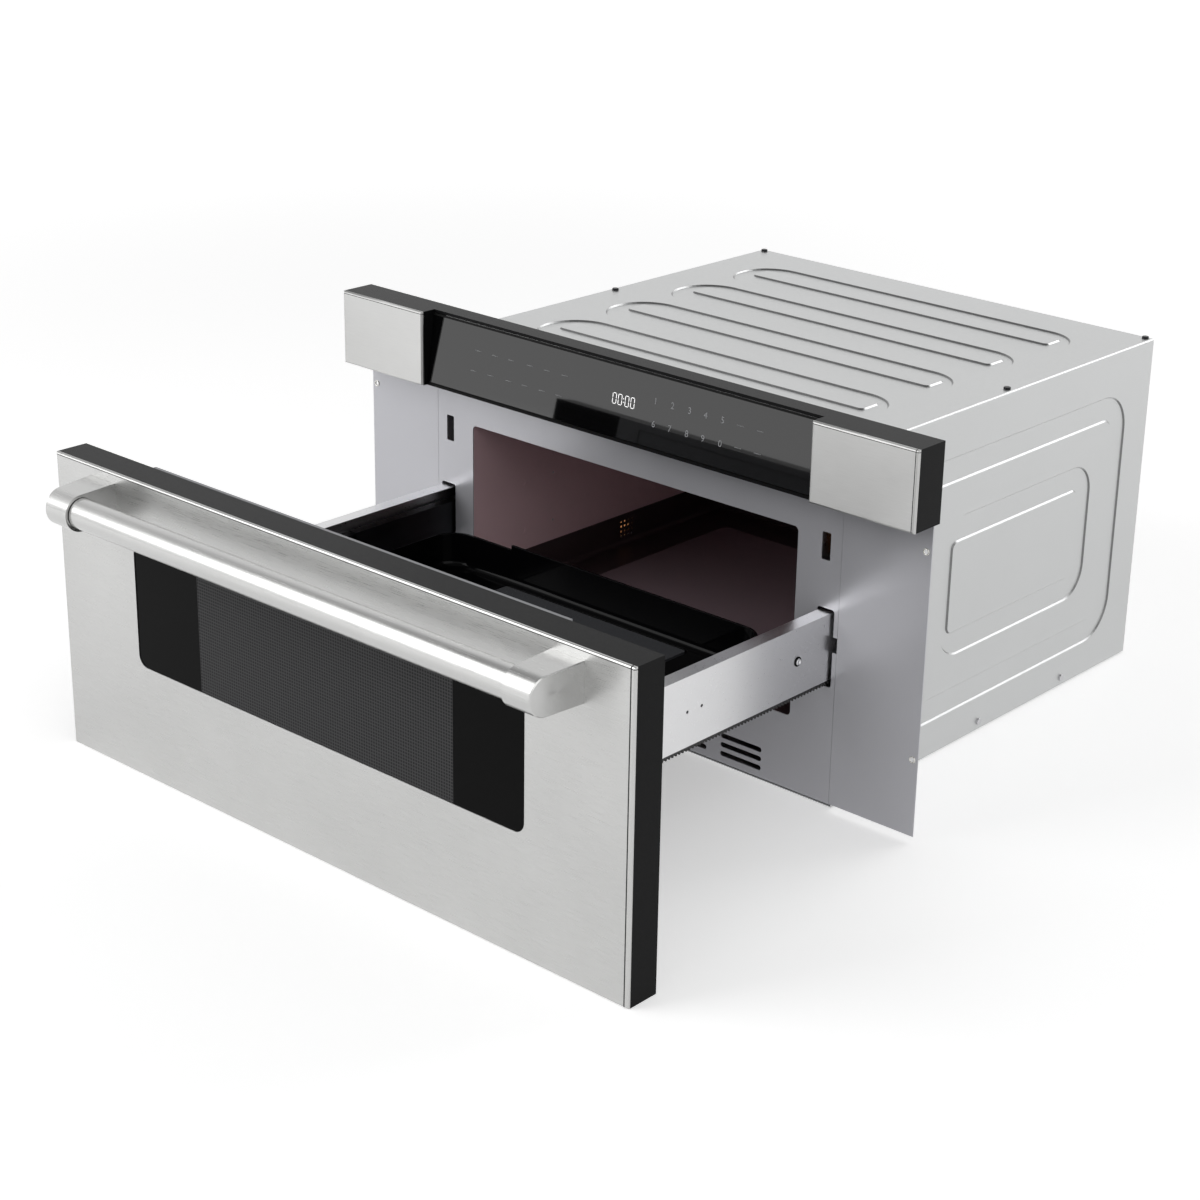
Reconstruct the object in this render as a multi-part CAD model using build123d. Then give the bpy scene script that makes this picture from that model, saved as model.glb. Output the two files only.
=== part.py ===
from build123d import *
import math
import os

os.makedirs("parts", exist_ok=True)

# Built-in microwave drawer, shown with its drawer run out.
# Frame: X to the right, Y to the rear, Z up, in millimetres.  The origin is the middle of
# the case's underside, which stands on the platform of the cabinet cut-out.

# ------------------------------------------------------------------ driving dimensions
# case
FRONT_W = 759.0            # width of the drawer front and of the control strip
BODY_W = 551.2             # width of the sheet-steel case
BODY_H = 370.0             # height of the case
BODY_D = 551.5             # front plate to rear panel
SHEET = 1.0                # case sheet
PLATE_T = 1.2              # front plate and side flanges
PLATE_BEND = 4.0           # bend at the foot of the front plate
PLATE_LIP = 16.0           # lip under the case, behind the bend
PLATE_RISE = 26.0          # front plate and flanges above the top of the case
FLANGE_IN = 4.3            # flange edge in from the side of the drawer front
FLANGE_RISE = 3.6          # flange foot above the underside
FLANGE_RETURN = 22.0       # leaf of a flange that runs back inside the case
FLANGE_HOLE = 2.2          # radius of a cabinet screw hole
FLANGE_HOLE_IN = 6.2       # hole centre to the flange's edge
FLANGE_HOLE_LOW = 83.6
FLANGE_HOLE_HIGH = 295.0
EDGE_TURN = 14.0           # turned-up and turned-down edges of the case sheets
FIT = 0.3                  # gap between pieces that only lie side by side

# pressed fields of the case
BEAD = 1.6                 # depth of the pressings
BEAD_SLOPE = 45.0          # slope of their walls, degrees
TOP_FIELDS = 4
TOP_FIELD_EDGE = 51.6      # field end to the side of the case
TOP_FIELD_W = 89.0
TOP_FIELD_PITCH = 110.7
TOP_FIELD_BACK = 101.2     # rearmost field's middle to the rear panel
TOP_FIELD_ROUND = 44.0
TOP_ISLAND_IN = 20.0       # raised island in from the ends and the rear of its field
TOP_ISLAND_W = 27.5
ISLAND_ROUND = 5.0
RING_FRONT = 26.0          # outer ring of a side, in from each edge of the sheet
RING_BACK = 46.0
RING_LOW = 38.2
RING_TOP = 47.8
RING_W = 27.5
RING_ROUND = 45.0
CORE_FRONT = 171.6         # inner ring of a side, in from each edge of the sheet
CORE_BACK = 108.0
CORE_LOW = 102.2
CORE_TOP = 114.3
CORE_FRONT_W = 14.0        # the inner ring is narrower at its front
CORE_ROUND = 35.0

# vents in the base pan, beside the fan
VENT_COLS = 6
VENT_AWAY = 22.0           # first vent to the fan
VENT_PITCH = 14.0
VENT_W = 6.0
VENT_L = 70.0

# screws
SCREW_R = 2.0
SCREW_HEAD_R = 3.8
SCREW_HEAD_H = 2.4
SCREW_L = 7.0
TOP_SCREW_IN = 8.1         # top screws in from the side of the case
TOP_SCREW_REAR = 5.0       # rear and middle top screws ahead of the rear panel
TOP_SCREW_MIDDLE = 276.0
SIDE_SCREW_LEVEL = 9.0
SIDE_SCREW_REAR = 134.0    # side screws ahead of the rear panel
SIDE_SCREW_PITCH = 161.0
REAR_SCREW_PITCH = 180.0
REAR_SCREW_EDGE = 9.0      # rear screws in from the top and foot of the panel

# rear panel
EXHAUST_ROWS = 6
EXHAUST_COLS = 5
EXHAUST_L = 36.0
EXHAUST_H = 6.0
EXHAUST_PITCH_X = 45.0
EXHAUST_PITCH_Z = 16.0
EXHAUST_LEVEL = 255.0
GLAND_X = -200.0           # cord gland
GLAND_Z = 60.0
GLAND_R = 9.0
GLAND_BORE = 4.0
GLAND_COLLAR = 3.0
GLAND_PROUD = 7.0
GLAND_NUT = 5.0

# control strip
STRIP_RISE = 34.2          # strip top above the case top
STRIP_H = 80.0
STRIP_WRAP = 3.3           # strip ends reach back past the front plate's face
FACE_PROUD = 37.4          # strip face ahead of the front plate
STRIP_WALL = 3.0
PAD_W = 121.0              # stainless pad at each end of the strip
SKIN = 3.0                 # depth of a stainless skin's folded edge
SKIN_ROUND = 2.2           # rounding of a skin's outer edges
GLASS_T = 4.0
CONTROL_SETBACK = 13.0     # middle of the touch glass behind the strip face
CONTROL_TILT = 8.4         # the touch glass leans back at the top, degrees
GLASS_LEDGE = 6.0          # ledges at the ends, behind the touch glass
BOARD_T = 1.6
BOARD_EDGE = 5.0           # board in from the edge of the glass
DISPLAY_W = 46.0
DISPLAY_H = 20.0
DISPLAY_X = 13.7
DISPLAY_T = 7.0
PLUG_COLS = 5              # plugs on the touch board
PLUG_IN = 40.0
PLUG_PITCH = 32.0
PLUG_W = 22.0
PLUG_T = 5.0

# drawer front
TRAVEL = 374.0             # run of the drawer from shut to open
SEAL_GAP = 0.5             # shut drawer to front plate
STRIP_GAP = 13.3           # strip to drawer front
DOOR_H = 313.0
DOOR_D = 36.0              # skin and frame together
DOOR_WALL = 2.5
COVER_T = 3.5              # choke cover on the back of the drawer front
COVER_IN = 1.1             # cover edge in from the side of the case
COVER_LAP = 9.0            # cover laps over the frame's rear opening
CHOKE_W = 16.0             # groove round the mouth, in the cover's rear face
CHOKE_DEEP = 1.6
CHOKE_OUT = 6.0            # groove to the edge of the mouth
WINDOW_EDGE = 118.5        # window to the side of the drawer front
WINDOW_H = 128.0
WINDOW_DROP = 64.7         # window top below the drawer front's top edge
WINDOW_SHIFT = -3.2        # middle of the window to the middle of the drawer front
WINDOW_ROUND = 12.0
GLASS_LAP = 8.0            # window glass reaches this far behind the skin
SCREEN_T = 1.0
SCREEN_LAP = 10.0

# handle
BAR_R = 15.2
BAR_WALL = 1.6
HANDLE_DROP = 30.5         # bar axis below the drawer front's top edge
HANDLE_STANDOFF = 40.0     # bar axis ahead of the skin
POST_IN = 76.3             # post centre in from the side of the drawer front
POST_W = 31.8              # width of a post at its nose
POST_NOSE = 18.3           # radius of a post's nose
POST_RISE = 1.6            # a post's top is this much higher where it meets the skin
POST_DRAFT = 6.0           # and its outer face stands this much further out there
POST_EDGE = 1.0
GROOVE = 1.0               # dark groove between the bar and each post
SPIGOT_L = 14.0
HANDLE_SCREW_R = 2.5
HANDLE_HEAD_R = 4.5
HANDLE_HEAD_H = 3.0
HANDLE_SCREW_BITE = 14.0   # length of thread in the post
HANDLE_SCREW_PITCH = 18.0

# drawer rails and telescopic slides
RAIL_IN_CASE = 10.0        # outer face of a rail to the side of the case
RAIL_LEVEL = 169.7         # middle of the rails above the underside
RAIL_H = 70.0
RAIL_FLANGE = 15.5
RAIL_L = 437.0
RAIL_HOLE = 1.6
RAIL_HOLE_AT = 163.0       # first of two holes, behind the drawer front
RAIL_HOLE_PITCH = 20.0
RAIL_DIMPLE_AT = 323.5
RAIL_DIMPLE = 4.0
PORT_GAP = 2.7             # rail and rack to the edge of their port
PORT_ROUND = 3.0
NOTCH_H = 16.0             # notch beside each port
NOTCH_LEVEL = 172.0
SLIDE_T = 1.5
SLIDE_H = 40.0
SLIDE_START = 8.0          # fixed member behind the front plate
OUTER_L = 375.0
MIDDLE_L = 330.0
MIDDLE_OUT = 141.0         # middle member ahead of the front plate when open
INNER_START = 30.0         # drawer member behind the drawer front
INNER_L = 400.0
BRACKET_T = 1.8
BRACKET_FOOT = 13.0

# tray
TRAY_CLEAR = 3.0           # tray to the side of the mouth
TRAY_D = 341.5
TRAY_RIM = 178.2           # rim level
TRAY_DEEP = 47.0           # rim to underside
TRAY_WALL = 2.6
TRAY_FLOOR = 5.4
TRAY_ROUND = 30.0
TRAY_FOOT = 10.0           # rounding between floor and walls
TRAY_STEP = 5.0            # the rim is this much lower left of the step
TRAY_STEP_IN = 89.5        # step to the tray's left side
TRAY_STEP_L = 120.0        # lower rim's run along the left side
SHELF_IN = 93.5            # shelf to the side of the tray
SHELF_FRONT = 43.0         # shelf to the tray's front face
SHELF_BACK = 14.0          # shelf to the tray's rear face
SHELF_T = 4.0
SHELF_PROUD = 0.6          # shelf stands above the tray floor
SHELF_CHANNEL = 3.0        # groove round the shelf

# cavity
RAIL_BAY = 55.1            # cavity wall to the side of the case
REAR_BAY = 130.3           # cavity back to the rear panel
CAVITY_FLOOR = 81.8
CAVITY_H = 209.0
MOUTH_LIP = 10.1           # the mouth is this much lower than the cavity's roof
MOUTH_ROUND = 5.0
FLOOR_INSET = 48.0         # ceramic floor plate in from the cavity walls
FLOOR_T = 4.0
WELL_R = 95.0
WELL_DEEP = 22.0
LAMP_HOLE = 1.5
LAMP_PITCH = 6.0
LAMP_ROWS = 4
LAMP_LEVEL = 100.0
LAMP_BACK = 250.0          # lamp behind the front plate
SPOT_HOLE = 1.5            # bracket screws and spot welds in the cavity walls
SPOT_HOLE_BACK = 125.6
SPOT_WELD = 4.0
SPOT_WELD_BACK = 76.6
SPOT_DEEP = 0.5
SPOT_RISE = 28.0           # spots above and below the middle of the rails

# slots in the front
LATCH_IN = 21.1            # latch slot to the side of the case
LATCH_DROP = 100.0         # middle of a latch slot below the case top
LATCH_W = 10.6
LATCH_H = 28.4
LATCH_ROUND = 1.5
LATCH_PLATE_W = 37.0       # plate round a latch slot, in from the side of the front plate
LATCH_PLATE_H = 45.0
LOUVRE_L = 53.0
LOUVRE_H = 5.4
LOUVRE_PITCH_X = 71.5
LOUVRE_PITCH_Z = 10.0
LOUVRE_LEVEL = 23.4        # middle row of the louvres
LOUVRE_SIDE = 88.6         # right-hand end of the louvres to the side of the case
LOUVRE_ROWS = 3
LOUVRE_COLS = 5

# latch hooks and interlocks
HOOK_CLEAR = 2.3           # hook to the edge of its slot, all round
HOOK_L = 20.0
HOOK_NOSE = 7.0
LEVER_T = 1.6
LEVER_W = 10.0
LEVER_H = 32.0
LEVER_PIN = 1.5
SWITCH_GAP = 5.8           # lever's free travel to the switch
SWITCH_W = 12.0
SWITCH_D = 20.0
SWITCH_H = 28.0
INTERLOCK_T = 1.5
INTERLOCK_H = 54.0
INTERLOCK_FOOT = 16.0

# drive
MODULE = 1.5
PINION_TEETH = 16
PRESSURE = 20.0            # pressure angle of the teeth, degrees
BACKLASH = 0.3
RACK_BACK = 2.0            # rack behind its teeth
RACK_W = 10.0
RACK_SKIP = 8.0            # rack start behind the drawer front
PINION_BACK = 38.0         # pinion axis behind the front plate
MOTOR_R = 22.0
MOTOR_T = 16.0
SHAFT_R = 3.0
SHAFT_DEPTH = 12.0
RUN_FIT = 0.05
MOUNT_T = 1.5              # motor mount sheet
MOUNT_FOOT = 24.0

# microwave feed
WG_W = 84.0                # waveguide, outside
WG_H = 37.0
WG_WALL = 1.2
WG_FRONT = 60.0            # waveguide ahead of the antenna shaft
WG_APERTURE = 12.0
STIR_R = 78.0
STIR_T = 1.6
STIR_DROP = 8.0            # antenna disc below the floor plate
STIR_SLOT = 9.0
STIR_HUB = 7.0
STIR_SHAFT = 2.5
STIR_MOTOR_R = 24.0
STIR_MOTOR_H = 15.0
MAG_W = 90.0
MAG_D = 74.0
MAG_H = 62.0
MAG_PLATE = 2.0
MAG_ANODE = 18.0
MAG_MAGNET = 27.0
MAG_MAGNET_H = 10.0
MAG_FINS = 6
MAG_FIN_T = 1.0
MAG_BOX = 58.0
MAG_BOX_H = 26.0
MAG_DOME = 8.0
MAG_DOME_H = 16.0

# cooling fan
FAN_SIZE = 100.0
FAN_T = 36.0
FAN_WALL = 3.0
FAN_GAP = 2.0              # blade tip to the bore
FAN_LEVEL = 100.0
FAN_AWAY = 82.0            # fan to the middle of the case
FAN_STRUT = 5.0
FAN_STRUT_T = 3.0
FAN_MOTOR_R = 17.0
FAN_MOTOR_T = 12.0
FAN_HUB = 20.0
FAN_HUB_T = 14.0
FAN_BLADES = 7
FAN_BLADE_T = 1.6
FAN_BLADE_TILT = 38.0
FAN_LEG = 12.0
DUCT_WALL = 1.5

# power parts
CORE_W = 88.0              # transformer
CORE_D = 62.0
CORE_H = 74.0
CORE_X = -190.0
COIL_BULGE = 16.0
COIL_ROUND = 7.0
CAP_W = 52.0
CAP_D = 34.0
CAP_H = 82.0
CAP_X = -98.0
CAP_ROUND = 14.0
TAB_W = 6.3                # blade terminals
TAB_T = 0.8
TAB_H = 9.0
POWER_W = 130.0            # power board
POWER_H = 96.0
POWER_X = 165.0
POWER_LEVEL = 232.0
POWER_EDGE = 8.0
STANDOFF = 8.0
STANDOFF_R = 3.0

# lamp and thermal cutout
LAMP_BOX = 40.0
LAMP_BOX_T = 24.0
LAMP_WALL = 1.2
BULB_R = 7.0
BULB_L = 22.0
SOCKET_L = 10.0
CUTOUT_R = 8.0
CUTOUT_H = 9.0
CUTOUT_PLATE = 26.0
CUTOUT_X = 60.0

# ------------------------------------------------------------------ worked-out places
HALF = FRONT_W / 2
CASE_X = BODY_W / 2
PLATE_Y = -BODY_D / 2
REAR_Y = BODY_D / 2
PLATE_BACK = PLATE_Y + PLATE_T
PLATE_TOP = BODY_H + PLATE_RISE
PLATE_X = CASE_X - SHEET - PLATE_T - FIT
FLANGE_X = HALF - FLANGE_IN
STRIP_TOP = BODY_H + STRIP_RISE
STRIP_LOW = STRIP_TOP - STRIP_H
FACE_Y = PLATE_Y - FACE_PROUD
PAD_X = HALF - PAD_W
DOOR_TOP = STRIP_LOW - STRIP_GAP
DOOR_LOW = DOOR_TOP - DOOR_H
DOOR_BACK = PLATE_Y - SEAL_GAP - TRAVEL
COVER_Y = DOOR_BACK - COVER_T
DOOR_Y = COVER_Y - DOOR_D
COVER_X = CASE_X - COVER_IN
GLASS_Y = DOOR_Y + SHEET
SCREEN_Y = GLASS_Y + GLASS_T
WINDOW_X = HALF - WINDOW_EDGE
WINDOW_TOP = DOOR_TOP - WINDOW_DROP
WINDOW_LOW = WINDOW_TOP - WINDOW_H
BAR_Y = DOOR_Y - HANDLE_STANDOFF
BAR_Z = DOOR_TOP - HANDLE_DROP
POST_X = HALF - POST_IN
RAIL_X = CASE_X - RAIL_IN_CASE
RAIL_LOW = RAIL_LEVEL - RAIL_H / 2
TOOTH_PITCH = math.pi * MODULE
DEDENDUM = 1.25 * MODULE
PITCH_R = MODULE * PINION_TEETH / 2
TOOTH_ROOT = RAIL_LOW - RACK_BACK
PITCH_LINE = TOOTH_ROOT - DEDENDUM
RACK_LOW = PITCH_LINE - MODULE
PINION_Y = PLATE_Y + PINION_BACK
PINION_Z = PITCH_LINE - PITCH_R
RACK_X = RAIL_X - SHEET - FIT - RACK_W / 2
SLIDE_X = RAIL_X - RAIL_FLANGE - SLIDE_T
BRACKET_X = SLIDE_X - BRACKET_T
MOUNT_X = RAIL_X - RAIL_FLANGE - 1.1
CAVITY_X = CASE_X - RAIL_BAY
CAVITY_WALL = CAVITY_X + SHEET
CAVITY_BACK = REAR_Y - REAR_BAY
CAVITY_TOP = CAVITY_FLOOR + CAVITY_H
MOUTH_TOP = CAVITY_TOP - MOUTH_LIP
ANTENNA_Y = (PLATE_BACK + CAVITY_BACK) / 2
BAY_Y = (CAVITY_BACK + REAR_Y) / 2
WELL_Z = CAVITY_FLOOR - FLOOR_T - WELL_DEEP
WG_TOP = WELL_Z - SHEET
WG_LOW = WG_TOP - WG_H
WG_BACK = BAY_Y + MAG_D / 2 + 6
STIR_Z = CAVITY_FLOOR - FLOOR_T - STIR_DROP
TRAY_X = CAVITY_X - TRAY_CLEAR
TRAY_BACK = DOOR_BACK + TRAY_D
TRAY_LOW = TRAY_RIM - TRAY_DEEP
SHELF_X = TRAY_X - SHELF_IN
SHELF_TOP = TRAY_LOW + TRAY_FLOOR + SHELF_PROUD
LATCH_X = CASE_X - LATCH_IN
LATCH_LEVEL = BODY_H - LATCH_DROP
HOOK_TIP = PLATE_Y - SEAL_GAP + HOOK_L
LEVER_Y = HOOK_TIP + FIT
LEVER_TOP = LATCH_LEVEL + LEVER_H / 2
FAN_X = FAN_AWAY
AXES = {"X": Axis.X, "Y": Axis.Y, "Z": Axis.Z}


# ------------------------------------------------------------------ helpers
def block(x0, x1, y0, y1, z0, z1):
    """A box between two corners."""
    middle = Pos((x0 + x1) / 2, (y0 + y1) / 2, (z0 + z1) / 2)
    return middle * Box(abs(x1 - x0), abs(y1 - y0), abs(z1 - z0))


def rounded(shape, axis, radius):
    """Round the edges of a box that run along one axis, as far as its sides allow."""
    size = shape.bounding_box().size
    sides = {"X": size.X, "Y": size.Y, "Z": size.Z}
    sides.pop(axis)
    limit = 0.49 * min(sides.values())
    return fillet(shape.edges().filter_by(AXES[axis]), min(radius, limit))


def shifted(point, axis, step):
    """A point moved along one axis."""
    moved = list(point)
    moved["XYZ".index(axis)] += step
    return tuple(moved)


def turned(shape, axis):
    """Turn a shape that stands along Z until it lies along an axis."""
    if axis == "X":
        return Rot(0, 90, 0) * shape
    if axis == "Y":
        return Rot(-90, 0, 0) * shape
    return shape


def rod(axis, start, length, radius):
    """A round bar from a start point along +X, +Y or +Z."""
    bar = Cylinder(radius, length, align=(Align.CENTER, Align.CENTER, Align.MIN))
    return Pos(*start) * turned(bar, axis)


def prism_x(points, x0, x1):
    """A YZ outline run from x0 to x1."""
    outline = Plane.YZ * make_face(Polyline(*points, close=True))
    return Pos(x0, 0, 0) * extrude(outline, x1 - x0)


def other_side(shape):
    """The same shape on the other side of the middle."""
    return mirror(shape, about=Plane.YZ)


def both_sides(shape):
    return shape + other_side(shape)


def group(parts):
    """Separate solids that share one node."""
    return Compound(children=list(parts))


def save(name, shape):
    export_step(shape, f"parts/{name}.step")


def pan_head(axis, sign, seat):
    """Pan-head screw whose head stands on a face at seat, facing sign * axis."""
    head = rod(axis, seat if sign > 0 else shifted(seat, axis, -SCREW_HEAD_H),
               SCREW_HEAD_H, SCREW_HEAD_R)
    rims = head.edges().group_by(AXES[axis])
    head = fillet(rims[-1 if sign > 0 else 0], SCREW_HEAD_H * 0.4)
    return head + shank(axis, sign, seat, SCREW_R)


def shank(axis, sign, seat, radius):
    """Shank of a screw, or its hole, behind the face at seat."""
    start = shifted(seat, axis, -SCREW_L if sign > 0 else 0)
    return rod(axis, start, SCREW_L, radius)


def drilled(shape, axis, seats):
    """Holes for the shanks of the screws that stand at these seats."""
    for sign, seat in seats:
        shape -= shank(axis, sign, seat, SCREW_R + RUN_FIT)
    return shape


# ------------------------------------------------------------------ screw places
TOP_SEATS = [(1, (side * (CASE_X - TOP_SCREW_IN), REAR_Y - ahead, BODY_H))
             for side in (-1, 1) for ahead in (TOP_SCREW_MIDDLE, TOP_SCREW_REAR)]
SIDE_SEATS = [(side, (side * CASE_X, REAR_Y - SIDE_SCREW_REAR - step, SIDE_SCREW_LEVEL))
              for side in (-1, 1) for step in (0, SIDE_SCREW_PITCH)]
REAR_SEATS = [(1, (col * REAR_SCREW_PITCH, REAR_Y, level))
              for col in (-1, 0, 1) for level in (REAR_SCREW_EDGE, BODY_H - REAR_SCREW_EDGE)]


# ------------------------------------------------------------------ case
def pressing(field, island):
    """A field pressed below a level of zero, with sloping walls, round an island."""
    dish = extrude(field, amount=-BEAD, taper=BEAD_SLOPE)
    return dish - extrude(island, amount=-BEAD, taper=-BEAD_SLOPE)


def top_fields(grow):
    """Oblong fields of the top, each widened all round by grow."""
    x = CASE_X - TOP_FIELD_EDGE
    half = TOP_FIELD_W / 2
    rear = half - TOP_ISLAND_IN
    fields = None
    for row in range(TOP_FIELDS):
        y = REAR_Y - TOP_FIELD_BACK - row * TOP_FIELD_PITCH
        field = RectangleRounded(2 * (x + grow), 2 * (half + grow), TOP_FIELD_ROUND + grow)
        island = RectangleRounded(2 * (x - TOP_ISLAND_IN - grow), TOP_ISLAND_W - 2 * grow,
                                  ISLAND_ROUND)
        dish = pressing(Pos(0, y) * field, Pos(0, y + rear - TOP_ISLAND_W / 2) * island)
        fields = dish if fields is None else fields + dish
    return fields


def side_outline(y0, y1, z0, z1, radius):
    """A rounded outline on the YZ plane."""
    middle = Pos((y0 + y1) / 2, (z0 + z1) / 2)
    return Plane.YZ * (middle * RectangleRounded(y1 - y0, z1 - z0, radius))


def pressed_ring(edges, widths, radius, grow):
    """One pressed ring of a side sheet, from X = 0 inwards, widened by grow."""
    front, back, low, top = edges
    y0 = PLATE_Y + front - grow
    y1 = REAR_Y - back + grow
    z0 = low - grow
    z1 = BODY_H - top + grow
    wide = widths[0] + 2 * grow
    narrow = widths[1] + 2 * grow
    inner = max(radius - widths[0], ISLAND_ROUND)
    return pressing(side_outline(y0, y1, z0, z1, radius + grow),
                    side_outline(y0 + narrow, y1 - wide, z0 + wide, z1 - wide, inner))


def side_rings(grow):
    outer = pressed_ring((RING_FRONT, RING_BACK, RING_LOW, RING_TOP),
                         (RING_W, RING_W), RING_ROUND, grow)
    core = pressed_ring((CORE_FRONT, CORE_BACK, CORE_LOW, CORE_TOP),
                        (RING_W, CORE_FRONT_W), CORE_ROUND, grow)
    return outer + core


def make_wrapper():
    """Folded top and sides; each pressing is dished through the sheet."""
    back = REAR_Y - SHEET
    shell = block(-CASE_X, CASE_X, PLATE_BACK, back, SHEET, BODY_H)
    inner = block(-CASE_X + SHEET, CASE_X - SHEET, PLATE_BACK, back, SHEET, BODY_H - SHEET)
    shell = fillet(shell.edges().filter_by(Axis.Y).group_by(Axis.Z)[-1], 3 * SHEET)
    shell -= fillet(inner.edges().filter_by(Axis.Y).group_by(Axis.Z)[-1], 2 * SHEET)
    grow = SHEET * (math.sqrt(2) - 1)
    shell += Pos(0, 0, BODY_H - SHEET) * top_fields(grow)
    shell -= Pos(0, 0, BODY_H) * top_fields(0)
    shell += both_sides(Pos(CASE_X - SHEET, 0, 0) * side_rings(grow))
    shell -= both_sides(Pos(CASE_X, 0, 0) * side_rings(0))
    edge = CASE_X - 4 * SHEET
    shell += block(-edge, edge, back - SHEET, back, BODY_H - EDGE_TURN, BODY_H - SHEET)
    shell = drilled(shell, "Z", TOP_SEATS)
    shell = drilled(shell, "X", SIDE_SEATS)
    return drilled(shell, "Y", REAR_SEATS)


def make_base_pan():
    """Base sheet with turned-up edges inside the case, and vents beside the feed."""
    x = CASE_X - SHEET
    back = REAR_Y - SHEET
    pan = block(-CASE_X, CASE_X, PLATE_BACK, REAR_Y, 0, SHEET)
    side = block(x - SHEET, x, PLATE_BACK + FLANGE_RETURN + SHEET, back, SHEET, EDGE_TURN)
    rear = block(-x + SHEET, x - SHEET, back - SHEET, back, SHEET, EDGE_TURN)
    pan += both_sides(side) + rear
    for col in range(VENT_COLS):
        vent_x = FAN_X + FAN_T + VENT_AWAY + VENT_PITCH * col
        vent = block(vent_x, vent_x + VENT_W, BAY_Y - VENT_L / 2, BAY_Y + VENT_L / 2,
                     0, SHEET)
        pan -= rounded(vent, "Z", VENT_W)
    pan = drilled(pan, "X", SIDE_SEATS)
    return drilled(pan, "Y", REAR_SEATS)


def make_rear_panel():
    """Rear sheet with exhaust slots and the hole of the cord gland."""
    panel = block(-CASE_X, CASE_X, REAR_Y - SHEET, REAR_Y, SHEET, BODY_H)
    panel = fillet(panel.edges().filter_by(Axis.Y).group_by(Axis.Z)[-1], 3 * SHEET)
    for row in range(EXHAUST_ROWS):
        z = EXHAUST_LEVEL + (row - (EXHAUST_ROWS - 1) / 2) * EXHAUST_PITCH_Z
        for col in range(EXHAUST_COLS):
            x = (col - (EXHAUST_COLS - 1) / 2) * EXHAUST_PITCH_X
            slot = block(x - EXHAUST_L / 2, x + EXHAUST_L / 2, REAR_Y - SHEET, REAR_Y,
                         z - EXHAUST_H / 2, z + EXHAUST_H / 2)
            panel -= rounded(slot, "Y", EXHAUST_H)
    panel -= rod("Y", (GLAND_X, REAR_Y - SHEET, GLAND_Z), SHEET, GLAND_R)
    return drilled(panel, "Y", REAR_SEATS)


def make_cord_gland():
    """Gland in the rear panel; the mains cord enters through its bore."""
    inside = (GLAND_X, REAR_Y - SHEET - GLAND_NUT, GLAND_Z)
    length = GLAND_NUT + SHEET + GLAND_PROUD
    collar = rod("Y", (GLAND_X, REAR_Y, GLAND_Z), GLAND_PROUD, GLAND_R + GLAND_COLLAR)
    collar = fillet(collar.edges().group_by(Axis.Y)[-1], GLAND_COLLAR / 2)
    neck = rod("Y", inside, GLAND_NUT + SHEET, GLAND_R - RUN_FIT)
    nut = rod("Y", inside, GLAND_NUT, GLAND_R + GLAND_COLLAR)
    return collar + neck + nut - rod("Y", inside, length, GLAND_BORE)


def louvre_slots():
    """Rows of slots low in the front plate."""
    slots = None
    for row in range(LOUVRE_ROWS):
        z = LOUVRE_LEVEL + (row - (LOUVRE_ROWS - 1) / 2) * LOUVRE_PITCH_Z
        for col in range(LOUVRE_COLS):
            x = CASE_X - LOUVRE_SIDE - col * LOUVRE_PITCH_X
            slot = block(x - LOUVRE_L, x, PLATE_Y, PLATE_BACK,
                         z - LOUVRE_H / 2, z + LOUVRE_H / 2)
            slot = rounded(slot, "Y", LOUVRE_H)
            slots = slot if slots is None else slots + slot
    return slots


def rail_port():
    """Port for the right-hand rail and its rack, with the notch beside it."""
    port = block(RAIL_X - RAIL_FLANGE - PORT_GAP, RAIL_X + PORT_GAP, PLATE_Y, PLATE_BACK,
                 RACK_LOW - PORT_GAP, RAIL_LEVEL + RAIL_H / 2 + PORT_GAP)
    notch = block(RAIL_X, PLATE_X, PLATE_Y, PLATE_BACK,
                  NOTCH_LEVEL - NOTCH_H / 2, NOTCH_LEVEL + NOTCH_H / 2)
    return rounded(port, "Y", PORT_ROUND) + notch


def latch_panel():
    """Outline of the plate round the right-hand latch slot."""
    return block(PLATE_X - LATCH_PLATE_W, PLATE_X, PLATE_Y, PLATE_BACK,
                 LATCH_LEVEL - LATCH_PLATE_H / 2, LATCH_LEVEL + LATCH_PLATE_H / 2)


def make_latch_plate():
    """Right-hand latch plate, let into the front plate and carried by its bracket."""
    slot = block(LATCH_X - LATCH_W / 2, LATCH_X + LATCH_W / 2, PLATE_Y, PLATE_BACK,
                 LATCH_LEVEL - LATCH_H / 2, LATCH_LEVEL + LATCH_H / 2)
    return latch_panel() - rounded(slot, "Y", LATCH_ROUND)


def make_front_plate():
    """Plate round the cavity mouth, bent back under the case at its foot."""
    foot = PLATE_BACK + PLATE_LIP
    plate = block(-PLATE_X, PLATE_X, PLATE_Y, foot, SHEET, PLATE_TOP)
    plate = fillet(plate.edges().filter_by(Axis.X).group_by(Axis.Z)[0]
                   .sort_by(Axis.Y)[0], PLATE_BEND)
    inner = block(-PLATE_X, PLATE_X, PLATE_BACK, foot, SHEET + PLATE_T, PLATE_TOP)
    inner = fillet(inner.edges().filter_by(Axis.X).group_by(Axis.Z)[0]
                   .sort_by(Axis.Y)[0], PLATE_BEND - PLATE_T)
    plate -= inner
    mouth = block(-CAVITY_X, CAVITY_X, PLATE_Y, PLATE_BACK, CAVITY_FLOOR, MOUTH_TOP)
    plate -= rounded(mouth, "Y", MOUTH_ROUND)
    plate -= both_sides(rail_port())
    return plate - both_sides(latch_panel()) - louvre_slots()


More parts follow.
